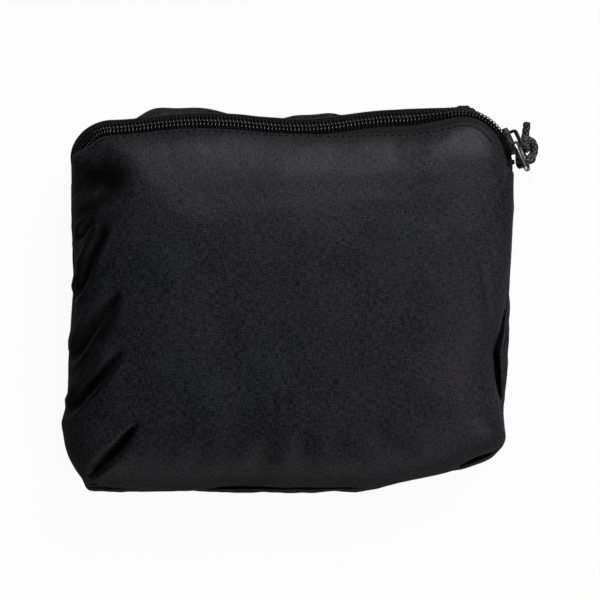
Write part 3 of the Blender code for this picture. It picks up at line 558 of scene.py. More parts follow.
def only(piece):
    bpy.ops.object.select_all(action="DESELECT")
    piece.select_set(True)
    bpy.context.view_layer.objects.active = piece


def whole_selected(piece):
    """Edit mode with the whole mesh selected."""
    only(piece)
    bpy.ops.object.mode_set(mode="EDIT")
    bpy.ops.mesh.select_all(action="SELECT")


def turned_over(piece):
    """Turns the faces of a piece to its other side."""
    whole_selected(piece)
    bpy.ops.mesh.flip_normals()
    bpy.ops.object.mode_set(mode="OBJECT")


def points_of(piece):
    points = np.empty(len(piece.data.vertices) * 3)
    piece.data.vertices.foreach_get("co", points)
    return points.reshape(-1, 3)


def set_cloth_map(piece, pairs):
    """The cloth map of a piece, from one pair of lengths for each point."""
    layers = piece.data.uv_layers
    layer = layers[0] if layers else layers.new()
    layer.name = "cloth"
    corners = np.empty(len(piece.data.loops), dtype=np.int32)
    piece.data.loops.foreach_get("vertex_index", corners)
    layer.data.foreach_set("uv", np.asarray(pairs, dtype=np.float32)[corners].ravel())


def set_point_values(piece, name, values):
    added = piece.data.attributes.new(name, "FLOAT", "POINT")
    added.data.foreach_set("value", values)


def strip_faces(rows, columns):
    """Quads between rows of points."""
    faces = []
    for row in range(rows - 1):
        for column in range(columns - 1):
            corner = row * columns + column
            faces.append((corner, corner + 1, corner + columns + 1, corner + columns))
    return faces


def ring_faces(rings, count):
    """Quads between closed rings of points."""
    faces = []
    for low in range(0, (rings - 1) * count, count):
        for column in range(count):
            after = (column + 1) % count
            faces.append((low + column, low + after, low + count + after, low + count + column))
    return faces


def dressed(piece, look, body, slot, *nodes):
    """Gives a piece its finish and body, and hides the CAD nodes that it stands for; the slot is not used."""
    piece.data.materials.clear()
    piece.data.materials.append(look)
    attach(piece, body)
    if nodes:
        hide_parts(*nodes)


def mesh_piece(name, points, faces, uv=None):
    """A smooth mesh object from points and faces, with an optional cloth map by point."""
    made = bpy.data.meshes.new(name)
    made.from_pydata([tuple(point) for point in points], [], [tuple(face) for face in faces])
    piece = bpy.data.objects.new(name, made)
    bpy.context.scene.collection.objects.link(piece)
    if uv is not None:
        set_cloth_map(piece, uv)
    made.shade_smooth()
    return piece


def finish_modifier(piece, kind, **settings):
    """Adds one modifier and applies it."""
    only(piece)
    added = piece.modifiers.new(kind.lower(), kind)
    for key, value in settings.items():
        setattr(added, key, value)
    bpy.ops.object.modifier_apply(modifier=added.name)


def tube(name, points, width, sides=2, cyclic=False, radii=None):
    """A round strand along a line of points, as a mesh."""
    line = bpy.data.curves.new(name, "CURVE")
    line.dimensions = "3D"
    line.bevel_depth = width / 2
    line.bevel_resolution = sides
    line.use_fill_caps = True
    spline = line.splines.new("POLY")
    spline.points.add(len(points) - 1)
    spline.points.foreach_set("co", np.column_stack([np.array(points), np.ones(len(points))]).ravel())
    if radii is not None:
        spline.points.foreach_set("radius", radii)
    spline.use_cyclic_u = cyclic
    piece = bpy.data.objects.new(name, line)
    bpy.context.scene.collection.objects.link(piece)
    only(piece)
    bpy.ops.object.convert(target="MESH")
    piece = bpy.context.object
    piece.data.shade_smooth()
    return piece


def smooth_route(route, count):
    """Evenly spaced points on a smooth curve through the route."""
    fine = 24
    dense = []
    for index in range(len(route) - 1):
        before = route[max(index - 1, 0)]
        start = route[index]
        end = route[index + 1]
        after = route[min(index + 2, len(route) - 1)]
        for part in range(fine):
            t = part / fine
            dense.append(0.5 * (2.0 * start + (end - before) * t
                                + (2.0 * before - 5.0 * start + 4.0 * end - after) * t ** 2
                                + (3.0 * start - before - 3.0 * end + after) * t ** 3))
    dense.append(route[-1])
    dense = np.array(dense)
    lengths = np.concatenate([[0.0], np.cumsum(np.linalg.norm(np.diff(dense, axis=0), axis=1))])
    wanted = np.linspace(0.0, lengths[-1], count)
    points = np.column_stack([np.interp(wanted, lengths, dense[:, axis]) for axis in range(3)])
    return points, lengths[-1]


# Camera, floor and light

WHITE = (1.0, 1.0, 1.0, 1.0)
SHOWN_WHITE = 1.0
SHADED_WHITE = 0.03
TABLE_SIZE = 6.0
TABLE_GAP = 0.05 * MM
TABLE_GLOW = 0.95
# Name, place, aim, size and power of each lamp
LAMPS = (
    ("key", (0.45, 0.9, 0.8), (0.0, 0.0, 0.02), (0.9, 0.7), 17.0),
    ("fill", (0.9, -0.6, 0.7), (0.0, 0.0, 0.02), (0.8, 0.8), 5.0),
    ("low_front", (0.0, -1.0, 0.25), (0.0, -0.07, 0.02), (1.0, 0.25), 2.0),
)


def make_camera():
    data = bpy.data.cameras.new("overhead")
    data.sensor_width = SENSOR
    data.lens = SENSOR * VIEW_DISTANCE / VIEW_WIDTH
    camera = bpy.data.objects.new("overhead", data)
    camera.location = (VIEW_X, 0.0, ZIP_LEVEL + VIEW_DISTANCE)
    bpy.context.scene.collection.objects.link(camera)
    bpy.context.scene.camera = camera


def make_floor():
    bpy.ops.object.select_all(action="DESELECT")
    bpy.ops.mesh.primitive_plane_add(size=TABLE_SIZE, location=(0.0, 0.0, cad_low.z - TABLE_GAP))
    floor = bpy.context.object
    floor.name = "white_table"
    look = Finish("white_table")
    grain = look.noise(look.place(), 60.0, 3.0)
    seen = look.node("ShaderNodeLightPath").outputs["Is Camera Ray"]
    pale = look.tint(grain, (0.86, 0.86, 0.86), (0.9, 0.9, 0.9))
    look.set(colour=look.tint(seen, (0.2, 0.2, 0.2), pale), roughness=0.75, specular=0.2)
    glow = look.node("ShaderNodeEmission")
    glow.inputs["Strength"].default_value = SHOWN_WHITE
    blend = look.node("ShaderNodeMixShader")
    look.join(look.math("MULTIPLY", seen, TABLE_GLOW), blend.inputs["Fac"])
    look.join(look.shader.outputs["BSDF"], blend.inputs[1])
    look.join(glow.outputs["Emission"], blend.inputs[2])
    look.join(blend.outputs["Shader"], look.tree.nodes["Material Output"].inputs["Surface"])
    floor.data.materials.append(look.made)


def lamp(name, place, aim, size, power):
    data = bpy.data.lights.new(name, "AREA")
    data.shape = "RECTANGLE"
    data.size, data.size_y = size
    data.energy = power
    made = bpy.data.objects.new(name, data)
    made.location = place
    heading = Vector(aim) - Vector(place)
    made.rotation_euler = heading.to_track_quat("-Z", "Y").to_euler()
    bpy.context.scene.collection.objects.link(made)


def make_light():
    scene = bpy.context.scene
    scene.view_settings.view_transform = "Standard"
    world = bpy.data.worlds.new("studio")
    scene.world = world
    world.use_nodes = True
    nodes = world.node_tree.nodes
    ground = nodes["Background"]
    shown = nodes.new("ShaderNodeBackground")
    for backdrop, strength in ((ground, SHADED_WHITE), (shown, SHOWN_WHITE)):
        backdrop.inputs["Color"].default_value = WHITE
        backdrop.inputs["Strength"].default_value = strength
    path = nodes.new("ShaderNodeLightPath")
    blend = nodes.new("ShaderNodeMixShader")
    links = world.node_tree.links
    links.new(path.outputs["Is Camera Ray"], blend.inputs["Fac"])
    links.new(ground.outputs["Background"], blend.inputs[1])
    links.new(shown.outputs["Background"], blend.inputs[2])
    links.new(blend.outputs["Shader"], nodes["World Output"].inputs["Surface"])
    for entry in LAMPS:
        lamp(*entry)


# Cord on the pull

# Cord points beside the knot's middle, in mm, and turns of the knot as angle, height and share of its size
CORD_TAIL = ((0.4, 10.4, 2.6), (0.0, 7.2, 2.1), (-0.5, 4.2, 2.05), (-1.1, 1.2, 2.05),
             (-1.45, -0.9, 2.05), (-1.1, -2.65, 2.2))
FIRST_TURN = ((-86, 2.5, 1.0), (-62, 2.85, 1.0), (-40, 3.15, 1.0), (-20, 3.45, 1.0), (5, 3.9, 1.0),
              (35, 4.5, 1.0), (65, 5.05, 1.0), (95, 5.5, 1.0), (125, 5.9, 1.0), (152, 6.35, 1.0))
CORD_UP = ((-2.95, 0.3, 7.7), (-3.35, -1.6, 10.3), (-3.6, -3.6, 13.6), (-3.8, -5.2, 16.6))
CORD_DOWN = ((0.7, -4.2, 16.6), (0.5, -4.0, 13.0))
SECOND_TURN = ((-68, 9.9, 1.0), (-40, 8.7, 1.0), (-10, 8.2, 1.0), (18, 8.2, 1.0), (40, 8.4, 0.96),
               (62, 8.65, 0.89), (88, 9.0, 0.77), (118, 9.5, 0.62))
CORD_END = ((-0.95, 0.85, 10.4), (-0.6, -0.15, 11.35), (0.25, -0.6, 12.0))
BAR_TURNS = (0, 45, 90, 135, 180)
CORD_POINTS = 640
PLAIT_SIDES = 64
PLAIT_STRANDS = 5
PLAIT_LAY = 2.3 * MM
PLAIT_RELIEF = 0.42 * MM
MELTED_SHARE = 0.22
MELTED_LEAST = 0.04


def cord_route(place):
    """Tail, under and round the knot, up and over the loop's lower bar, down, and round again."""
    bend = LOOP_WIRE / 2 + GAP + CORD_WIDTH / 2
    bar_x = LOOP_X + LOOP_LENGTH - LOOP_WIRE / 2 - 2.0 * GAP - CORD_WIDTH / 2
    bar = place @ Vector((bar_x, LOOP_Y, -LOOP_HALF))
    knot = Vector((bar.x + KNOT_RIGHT, bar.y + KNOT_AHEAD, 0.0))

    def beside(points):
        return [knot + Vector(point) * MM for point in points]

    def turned(points):
        for degrees, height, share in points:
            angle = math.radians(degrees)
            x = share * KNOT_HALF_X * math.cos(angle)
            y = share * KNOT_HALF_Y * math.sin(angle)
            yield knot + Vector((x, y, height * MM))

    over = []
    for degrees in BAR_TURNS:
        angle = math.radians(degrees)
        out, across = bend * math.cos(angle), bend * math.sin(angle)
        over.append(place @ Vector((bar_x, LOOP_Y - out, -LOOP_HALF + across)))
    return [*beside(CORD_TAIL), *turned(FIRST_TURN), *beside(CORD_UP), *over, *beside(CORD_DOWN),
            *turned(SECOND_TURN), *beside(CORD_END)]


def plaited_tube(name, path, width):
    """A round cord whose surface is plaited from two sets of strands, with closed, melted ends."""
    steps = np.linalg.norm(np.diff(path, axis=0), axis=1)
    lengths = np.concatenate([[0.0], np.cumsum(steps)])
    ahead = np.gradient(path, axis=0)
    ahead /= np.linalg.norm(ahead, axis=1)[:, None]
    side = np.cross(ahead[0], (0.0, 0.0, 1.0))
    points = []
    heights = []
    turns = np.arange(PLAIT_SIDES) / PLAIT_SIDES
    angles = math.tau * turns
    cosines, sines = np.cos(angles)[:, None], np.sin(angles)[:, None]
    for i, place in enumerate(path):
        side = side - ahead[i] * np.dot(side, ahead[i])
        side /= np.linalg.norm(side)
        lift = np.cross(ahead[i], side)
        first = PLAIT_STRANDS * turns + lengths[i] / PLAIT_LAY
        second = PLAIT_STRANDS * turns - lengths[i] / PLAIT_LAY
        upper = (np.floor(first) + np.floor(second)) % 2 == 0
        height = np.where(upper, np.sin(np.pi * (second % 1.0)), np.sin(np.pi * (first % 1.0)))
        near = min(lengths[i], lengths[-1] - lengths[i]) / (width * MELTED_SHARE)
        taper = math.sqrt(max(MELTED_LEAST, 1.0 - (1.0 - min(near, 1.0)) ** 2))
        radius = (width / 2 - PLAIT_RELIEF * (1.0 - height)) * taper
        points.append(place + radius[:, None] * (cosines * side + sines * lift))
        heights.append(height)
    rings = len(path)
    faces = ring_faces(rings, PLAIT_SIDES)
    faces.append(tuple(range(PLAIT_SIDES))[::-1])
    faces.append(tuple(range((rings - 1) * PLAIT_SIDES, rings * PLAIT_SIDES)))
    piece = mesh_piece(name, np.concatenate(points), faces)
    set_point_values(piece, "plait", np.concatenate(heights).astype(np.float32))
    return piece


def make_cord(place):
    path, length = smooth_route(cord_route(place), CORD_POINTS)
    piece = plaited_tube("braided_pull_cord", path, PLAIT_WIDTH)
    dressed(piece, BRAID, "cord", "braided_cord", "pull_cord")


# Cloth of the pouch

RIM_COUNT = 1400
RIM_AT = np.linspace(0.0, OUTLINE.length, RIM_COUNT, endpoint=False)
RIM_PLACE = np.array([OUTLINE.at(value)[0] for value in RIM_AT])
RIM_OUT = np.array([OUTLINE.at(value)[1] for value in RIM_AT])
RIM_ZIP = np.array([zip_share(value) for value in RIM_AT])


def length_at(x, y):
    """Length along the outline of its point nearest to a place."""
    return float(RIM_AT[np.argmin(np.hypot(RIM_PLACE[:, 0] - x, RIM_PLACE[:, 1] - y))])


def bumps(middle, reach):
    """A soft bump of height 1 along the rim."""
    return np.exp(-(around(RIM_AT, middle) / reach) ** 2)


# Where the front panel's rim and the side strip stand off the outline: x, y, rim and strip, clockwise in mm
EDGES = (
    (82.0, 42.0, 0.4, -0.6), (82.0, 22.0, 0.9, -0.4), (81.5, 5.5, 1.0, 0.6),
    (81.0, -2.0, 0.0, 1.6), (80.5, -13.0, -2.0, 1.8), (80.0, -19.0, -3.8, 1.8),
    (79.5, -27.5, -2.7, 1.7), (79.0, -36.5, -0.8, 0.8), (78.8, -45.5, 1.2, 0.0),
    (78.5, -50.5, 2.3, -0.4), (75.0, -56.5, -1.5, 0.5), (70.0, -59.0, -1.2, 1.2),
    (64.5, -61.0, -0.3, 1.6), (59.0, -62.5, 0.9, 0.5), (52.0, -64.5, 0.5, 0.0),
    (41.0, -66.5, -0.3, -0.3), (30.0, -69.0, -1.2, 0.0), (23.0, -70.5, -1.7, 0.3),
    (15.5, -70.5, -1.4, 0.4), (-2.5, -70.5, -1.6, 0.6), (-21.0, -70.5, -1.9, 0.6),
    (-33.5, -70.5, -0.8, 0.0), (-35.5, -70.5, -0.1, -0.5), (-53.5, -70.5, -0.9, 0.3),
    (-68.0, -70.5, -1.6, 0.3), (-73.0, -70.0, -1.5, 0.0), (-76.5, -63.0, 0.2, -0.6),
    (-81.0, -51.0, 0.2, -0.8), (-82.5, -45.0, 0.1, -0.8), (-82.0, -40.0, -0.9, -1.2),
    (-81.5, -34.5, -1.4, -1.6), (-80.5, -24.0, -0.7, -1.2), (-79.5, -7.0, -0.3, -0.8),
    (-78.7, 10.0, 0.0, -0.8), (-78.8, 30.0, 0.0, -0.6), (-79.0, 42.0, 0.0, -0.6),
)


def edge_stands(column):
    """One column of the edge table at every rim point, in metres, with its corners softened."""
    table = sorted((length_at(entry[0] * MM, entry[1] * MM), entry[column] * MM) for entry in EDGES)
    places, values = np.array(table).T
    stands = np.interp(RIM_AT, places, values, period=OUTLINE.length)
    reach = int(EDGE_SOFTEN / OUTLINE.length * RIM_COUNT)
    window = np.hanning(2 * reach + 1)
    padded = np.concatenate([stands[-reach:], stands, stands[:reach]])
    return np.convolve(padded, window / window.sum(), mode="valid")


FRONT_STANDS = edge_stands(2)
SIDE_STANDS = edge_stands(3)
# Bulges of the back cloth under the zip: x, reach and height in mm
BACK_BULGES = ((-50.0, 8.0, 4.4), (-34.0, 15.0, 4.9), (2.0, 7.0, 2.9), (8.0, 6.0, 1.8), (16.0, 7.0, 3.6),
               (66.0, 5.0, 3.4))
BULGE_Y = 69.0 * MM
BULGE_FOOT = 0.1
BULGE_SPAN = 0.85
BULGE_POWER = 0.7
BULGE_ROOM = 0.5 * MM


def hem_share():
    """1 where the front hem lies back from the zip, and 0 where the cloth folds over the zip's ends."""
    low = OUTLINE.line_end(TOP_LEFT) + HEM_COVER[0]
    high = OUTLINE.arc_end(TOP_RIGHT) - HEM_COVER[1]
    return ease((RIM_AT - low) / HEM_COVER_EASE[0]) * ease((high - RIM_AT) / HEM_COVER_EASE[1])


def hem_place(distance):
    """Where the front hem's edge lies across the zip: close to the coil at the left, off it at the right."""
    before = -around(distance, OUTLINE.line_end(TOP_RIGHT))
    opened = float(ease((HEM_OPENS[0] - before) / (HEM_OPENS[0] - HEM_OPENS[1])))
    edge = HEM_CLOSE + (HEM_EDGE - HEM_CLOSE) * opened
    return edge, HEM_CLOSE_PROUD + (HEM_PROUD - HEM_CLOSE_PROUD) * opened


def front_rim():
    """Rim of the front panel: the hem over the tape, and the seam along the gussets."""
    hem_out, hem_high = np.array([zip_flat(value, *hem_place(value)) for value in RIM_AT]).T
    hem = hem_share()
    out = FRONT_STANDS + hem * (hem_out - FRONT_STANDS)
    high = GUSSET_TOP + RIM_ZIP * (hem_high - HEM_COVER_DROP * (1.0 - hem) - GUSSET_TOP)
    return np.column_stack([RIM_PLACE + RIM_OUT * out[:, None], high])


def back_rim():
    """Rim of the back panel: the hem under the tape, and the seam along the gussets."""
    hems = []
    for value in RIM_AT:
        corner = corner_share(value)
        edge = BACK_HEM[0] + (BACK_HEM[1] - BACK_HEM[0]) * corner
        proud = BACK_HEM_PROUD[0] + (BACK_HEM_PROUD[1] - BACK_HEM_PROUD[0]) * corner
        hems.append(zip_flat(value, -edge, proud))
    back_out, back_high = np.array(hems).T
    out = -GUSSET_BACK_INSET + RIM_ZIP * (back_out + GUSSET_BACK_INSET)
    high = GUSSET_FOOT + RIM_ZIP * (back_high - GUSSET_FOOT)
    return np.column_stack([RIM_PLACE + RIM_OUT * out[:, None], high])


FRONT_RIM = front_rim()
BACK_RIM = back_rim()
FRONT_GRID = (196, 168)
BACK_GRID = (150, 128)
RIM_CROWDING = 1.3
LIP_SHARE = 0.35
LIP_AT = 1.9
RIDGE_LEE = 0.6
RIDGE_POWER = 1.15
SLIT_LEAST = 0.05


def by_heading(rim, values, heading):
    """Values given at a rim's points, read at headings from the middle."""
    turn = np.arctan2(rim[:, 1], rim[:, 0])
    order = np.argsort(turn)
    return np.interp(heading, turn[order], values[order], period=math.tau)


def round_rim(rim, columns, rows):
    """A square grid drawn out to a rim: grid shares from middle to rim, and rim points by direction."""
    bpy.ops.object.select_all(action="DESELECT")
    bpy.ops.mesh.primitive_grid_add(x_subdivisions=columns, y_subdivisions=rows, size=2.0)
    piece = bpy.context.object
    grid = points_of(piece)
    round_x = grid[:, 0] * np.sqrt(1.0 - grid[:, 1] ** 2 / 2)
    round_y = grid[:, 1] * np.sqrt(1.0 - grid[:, 0] ** 2 / 2)
    reach = np.minimum(np.hypot(round_x, round_y), 1.0)
    share = 1.0 - (1.0 - reach) ** RIM_CROWDING
    heading = np.arctan2(round_y * POUCH_HEIGHT, round_x * POUCH_WIDTH)
    at_rim = [by_heading(rim, column, heading) for column in (rim[:, 0], rim[:, 1], rim[:, 2], RIM_ZIP)]
    angle = np.arctan2(at_rim[1] * POUCH_WIDTH, at_rim[0] * POUCH_HEIGHT)
    oval_x = np.cos(angle) * POUCH_WIDTH / 2
    oval_y = np.sin(angle) * POUCH_HEIGHT / 2
    blend = 1.0 - share ** OVAL_POWER
    x = (at_rim[0] + (oval_x - at_rim[0]) * blend) * share
    y = (at_rim[1] + (oval_y - at_rim[1]) * blend) * share
    return piece, share, x, y, at_rim


def perlin(x, y, size, seed):
    """Smooth noise from -1 to 1 over the plan, with features of one size."""
    return np.array([noise.noise((a / size, b / size, seed)) for a, b in zip(x, y)])


def slanted(x, y, angle, long, short, seed):
    """Noise drawn out along one direction, for folds that run that way."""
    along = x * math.cos(angle) + y * math.sin(angle)
    across = y * math.cos(angle) - x * math.sin(angle)
    return np.array([noise.noise((a / long, b / short, seed)) for a, b in zip(along, across)])


def crease(x, y, points, width, taper=0.35):
    """Signed distance over width from a line of points, and a fade that falls to 0 at its ends."""
    best = np.full(len(x), 1e9)
    signed = np.zeros(len(x))
    share = np.zeros(len(x))
    line = np.array(points) * MM
    steps = np.linalg.norm(np.diff(line, axis=0), axis=1)
    total = steps.sum()
    run = 0.0
    for (ax, ay), (bx, by), step in zip(line[:-1], line[1:], steps):
        dx, dy = (bx - ax) / step, (by - ay) / step
        along = np.clip((x - ax) * dx + (y - ay) * dy, 0.0, step)
        away = np.hypot(x - ax - dx * along, y - ay - dy * along)
        side = np.sign((x - ax) * dy - (y - ay) * dx)
        nearer = away < best
        best = np.where(nearer, away, best)
        signed = np.where(nearer, away * side, signed)
        share = np.where(nearer, (run + along) / total, share)
        run += step
    fade = ease(np.minimum(share, 1.0 - share) / taper)
    return signed / width, fade


def furrow(x, y, points, width, depth, taper=0.35):
    """A groove along a line with a low lip on each side."""
    away, fade = crease(x, y, points, width, taper)
    return fade * depth * (LIP_SHARE * np.exp(-(abs(away) - LIP_AT) ** 2) - np.exp(-away ** 2))


def ridge(x, y, points, width, height, taper=0.35):
    """A sharp crest along a line, steeper on its lower left side."""
    away, fade = crease(x, y, points, width, taper)
    return fade * height * np.exp(-np.where(away > 0.0, 1.0, RIDGE_LEE) * abs(away) ** RIDGE_POWER)


def slit(x, y, points, width, depth, taper=0.35):
    """A steep groove with sharp edges, where the cloth is folded under itself."""
    away, fade = crease(x, y, points, width, taper)
    return -depth * np.sqrt(fade) * np.exp(-abs(away / np.maximum(np.sqrt(fade), SLIT_LEAST)) ** 3)


# Folds of the front panel as points, width and height or depth, in mm
LEFT_RIDGES = (
    (((-77.7, 23.7), (-70.0, 31.8), (-64.2, 33.9)), 1.3, 0.9),
    (((-76.3, 19.3), (-71.2, 25.2), (-67.2, 29.6)), 1.1, 0.9),
    (((-77.4, 11.0), (-73.7, 16.0), (-70.0, 21.9)), 1.3, 0.9),
    (((-78.5, -3.3), (-71.5, 1.5), (-62.8, 9.5)), 1.6, 1.2),
    (((-79.2, -27.7), (-70.0, -17.5), (-65.7, -14.6)), 1.5, 1.1),
    (((-79.6, -34.3), (-73.7, -25.5), (-70.0, -21.9)), 1.3, 0.9),
)
LEFT_FURROWS = (
    (((-76.0, 21.0), (-69.0, 29.3)), 1.3, 1.8),
    (((-64.5, 26.0), (-70.0, 16.0), (-73.7, 7.3), (-78.4, -2.0)), 1.5, 2.4),
    (((-59.0, 4.5), (-63.9, -2.2), (-67.9, -6.6), (-73.0, -13.9), (-79.0, -24.6)), 2.3, 3.0),
    (((-57.5, -16.3), (-66.4, -27.0), (-73.7, -34.3), (-81.5, -44.0)), 1.8, 2.6),
)
CORNER_SLIT = ((-73.0, -64.5), (-67.2, -59.9), (-60.6, -53.3), (-52.6, -43.0))
CORNER_NICK = ((-70.8, -72.0), (-70.8, -65.4))
# Slits as points, width, depth and the share of their length that fades out
SLITS = ((CORNER_SLIT, 1.7, 6.0, 0.42), (CORNER_NICK, 1.3, 4.0, 0.2))
# Folds that get painted shade in the front cloth's colour, as points and width
PAINTED_SHADE_FOLDS = (
    (((-62.5, 38.0), (-67.2, 23.7), (-71.9, 11.7), (-80.5, -8.0)), 3.8),
    (((-57.5, 3.5), (-65.3, -9.1), (-71.9, -16.4), (-83.0, -31.0)), 4.4),
    (((-59.0, -20.0), (-68.3, -29.9), (-73.7, -35.8), (-84.0, -46.0)), 3.8),
    (((-54.0, 39.5), (-66.0, 45.0), (-80.0, 44.0)), 5.6),
    (((-60.0, 41.0), (-72.0, 32.5), (-84.0, 20.0)), 4.0),
    (CORNER_SLIT, 1.9),
)
RIGHT_CREASES = (
    (((66.5, 27.0), (69.0, 19.0), (71.5, 8.0), (73.5, -8.0), (75.5, -24.0)), 1.8, 0.6),
    (((72.0, 24.0), (74.5, 14.0), (76.0, 2.0)), 1.4, 0.35),
)
BOTTOM_FOLDS = (
    (((-12.0, -70.0), (-9.0, -58.0), (-4.0, -46.0)), 4.0, 0.7),
    (((8.0, -70.0), (6.0, -57.0), (4.0, -45.0)), 3.5, 0.6),
    (((47.0, -64.0), (38.0, -54.0), (28.0, -47.0)), 4.0, 0.6),
    (((-36.0, -70.0), (-33.0, -60.0), (-28.0, -50.0)), 3.5, 0.5),
)
RIDGE_FADE = 0.3
LEFT_FURROW_FADE = 0.25
# Ripples as size, height and seed, and crumples as direction, length, width, height and seed
FRONT_RIPPLES = ((46.0, 0.35, 3.1), (15.0, 0.22, 7.7), (5.0, 0.05, 1.3))
BACK_RIPPLES = ((24.0, 0.25, 13.1), (8.0, 0.12, 17.7))
BACK_RIPPLES_FROM = 0.75
BACK_RIPPLES_OVER = 0.15
LEFT_CRUMPLES = ((52.0, 22.0, 5.0, 0.4, 5.5), (60.0, 11.0, 2.6, 0.2, 9.5), (20.0, 7.0, 3.0, 0.12, 2.5))
CRUMPLED_FROM = -54.0 * MM
CRUMPLED_OVER = 18.0 * MM
CRUMPLED_HALF = 50.0 * MM
CRUMPLED_FOOT = 16.0 * MM
CRUMPLED_HEAD = 14.0 * MM
# A dent below the top left corner and a puff above the bottom left one: middle, reach and height in mm
SWELLS = (((-68.0, 43.0), (9.0, 9.0), -3.4), ((-73.5, -53.0), (8.5, 9.0), 3.2))
PUCKER_REACH = 7.0 * MM
PUCKER_HEIGHT = 0.35 * MM
PUCKER_SIZE = (14.0 * MM, 4.5 * MM)
TOP_FOLD_HEIGHT = 0.4 * MM
TOP_FOLD_SIZE = (40.0 * MM, 9.0 * MM)
TOP_FOLD_SLANT = 0.05
TOP_FOLDS_FROM = 20.0 * MM
TOP_FOLDS_OVER = 25.0 * MM
SHADE_SLANT = math.radians(52.0)
SHADE_WRINKLES = (12.0 * MM, 2.2 * MM)
SHADE_BROKEN = 0.4
SHADE_FADE = 0.3


def ripples(x, y, table):
    """Layers of smooth noise, each with its own size and height."""
    return sum(height * MM * perlin(x, y, size * MM, seed) for size, height, seed in table)


def swell_at(x, y, middle, reach):
    """A soft round swell of height 1."""
    across = (x - middle[0] * MM) / (reach[0] * MM)
    along = (y - middle[1] * MM) / (reach[1] * MM)
    return np.exp(-across ** 2 - along ** 2)


def front_wrinkles(x, y, share, zipped):
    """How far each point of the front panel stands off its smooth crown."""
    lift = ripples(x, y, FRONT_RIPPLES)
    left = ease((CRUMPLED_FROM - x) / CRUMPLED_OVER)
    left = left * ease((y + CRUMPLED_HALF) / CRUMPLED_FOOT) * ease((CRUMPLED_HALF - y) / CRUMPLED_HEAD)
    for angle, long, short, height, seed in LEFT_CRUMPLES:
        fold = slanted(x, y, math.radians(angle), long * MM, short * MM, seed)
        lift += left * height * MM * (1.0 - 2.0 * np.sqrt(abs(fold)))
    for points, width, height in LEFT_RIDGES:
        lift += ridge(x, y, points, width * MM, height * MM, RIDGE_FADE)
    for points, width, depth in LEFT_FURROWS:
        lift += furrow(x, y, points, width * MM, depth * MM, LEFT_FURROW_FADE)
    for points, width, depth, fade in SLITS:
        lift += slit(x, y, points, width * MM, depth * MM, fade)
    for points, width, depth in (*RIGHT_CREASES, *BOTTOM_FOLDS):
        lift += furrow(x, y, points, width * MM, depth * MM)
    for middle, reach, height in SWELLS:
        lift += height * MM * swell_at(x, y, middle, reach)
    near_hem = np.exp(-((1.0 - share) * POUCH_HEIGHT / 2 / PUCKER_REACH) ** 2) * zipped
    lift += PUCKER_HEIGHT * near_hem * slanted(x, y, math.pi / 2, *PUCKER_SIZE, 2.2)
    top_folds = slanted(x, y, TOP_FOLD_SLANT, *TOP_FOLD_SIZE, 4.4)
    return lift + TOP_FOLD_HEIGHT * top_folds * ease((y - TOP_FOLDS_FROM) / TOP_FOLDS_OVER)


def fold_shade(x, y):
    """How much painted shade each point gets in the left folds and the corner slit, 0 to 1, broken up by
    small wrinkles.
    """
    shade = np.zeros(len(x))
    broken = 1.0 + SHADE_BROKEN * slanted(x, y, SHADE_SLANT, *SHADE_WRINKLES, 8.1)
    for points, width in PAINTED_SHADE_FOLDS:
        away, fade = crease(x, y, points, width * MM, SHADE_FADE)
        shade = np.maximum(shade, fade * np.exp(-abs(away * broken) ** 3))
    return shade


def moved_along_normals(piece, lift):
    """Moves each point of a piece out along its own normal."""
    normals = np.empty(len(lift) * 3)
    piece.data.vertex_normals.foreach_get("vector", normals)
    moved = points_of(piece) + normals.reshape(-1, 3) * lift[:, None]
    piece.data.vertices.foreach_set("co", moved.ravel())
    piece.data.update()


def unrolled_map(piece, x, y, down):
    """A cloth map in which the steep sides are laid out flat, by how far down each point is."""
    stretch = 1.0 + WALL_SHARE * down / np.maximum(np.hypot(x, y), MM)
    set_cloth_map(piece, np.column_stack([x * stretch, y * stretch]))


def placed(piece, x, y, z):
    """Moves the points of a piece to places given axis by axis."""
    piece.data.vertices.foreach_set("co", np.column_stack([x, y, z]).ravel())
    piece.data.update()
    piece.data.shade_smooth()


def turned_in(share, width):
    """How far a seam edge is drawn in: 0 on the panel, 1 at its rim."""
    away = (1.0 - share) * POUCH_HEIGHT / 2
    return np.clip(1.0 - away / width, 0.0, 1.0) ** 2


def make_front():
    """The domed front panel, its hem beside the zip and its folds where the cloth is gathered."""
    piece, share, x, y, (_, _, rim_z, zipped) = round_rim(FRONT_RIM, *FRONT_GRID)
    power = CROWN_POWER + SIDE_FULLNESS * ease((abs(x) - SIDE_FULL_FROM) / SIDE_FULL_OVER)
    power += FOOT_FULLNESS * ease((-y - FOOT_FULL_FROM) / FOOT_FULL_OVER)
    foot = GUSSET_TOP + (rim_z - GUSSET_TOP) * (FOOT_LEAST + FOOT_REST * share ** 3)
    foot = rim_z + (foot - rim_z) * (1.0 - share ** 8)
    z = foot + (POUCH_DEPTH - foot) * np.sqrt(np.clip(1.0 - share ** power, 0.0, 1.0))
    placed(piece, x, y, z)
    piece.name = "front_cloth"
    # Painted shade: stored on the points, for the cloth finish to darken its colour in the folds
    set_point_values(piece, "fold_shade", fold_shade(x, y))
    sewn = turned_in(share, SEAM_TURN) * (1.0 - zipped)
    pressed = turned_in(share, HEM_PRESSED) * zipped * HEM_PRESSED_SHARE
    lift = front_wrinkles(x, y, share, zipped) * (1.0 - pressed)
    moved_along_normals(piece, lift - SEAM_DRAWN * sewn)
    unrolled_map(piece, x, y, POUCH_DEPTH - z)
    finish_modifier(piece, "SOLIDIFY", thickness=CLOTH, offset=-1.0)
    dressed(piece, NYLON, "pouch", "nylon_cloth", "front_panel")
    return piece


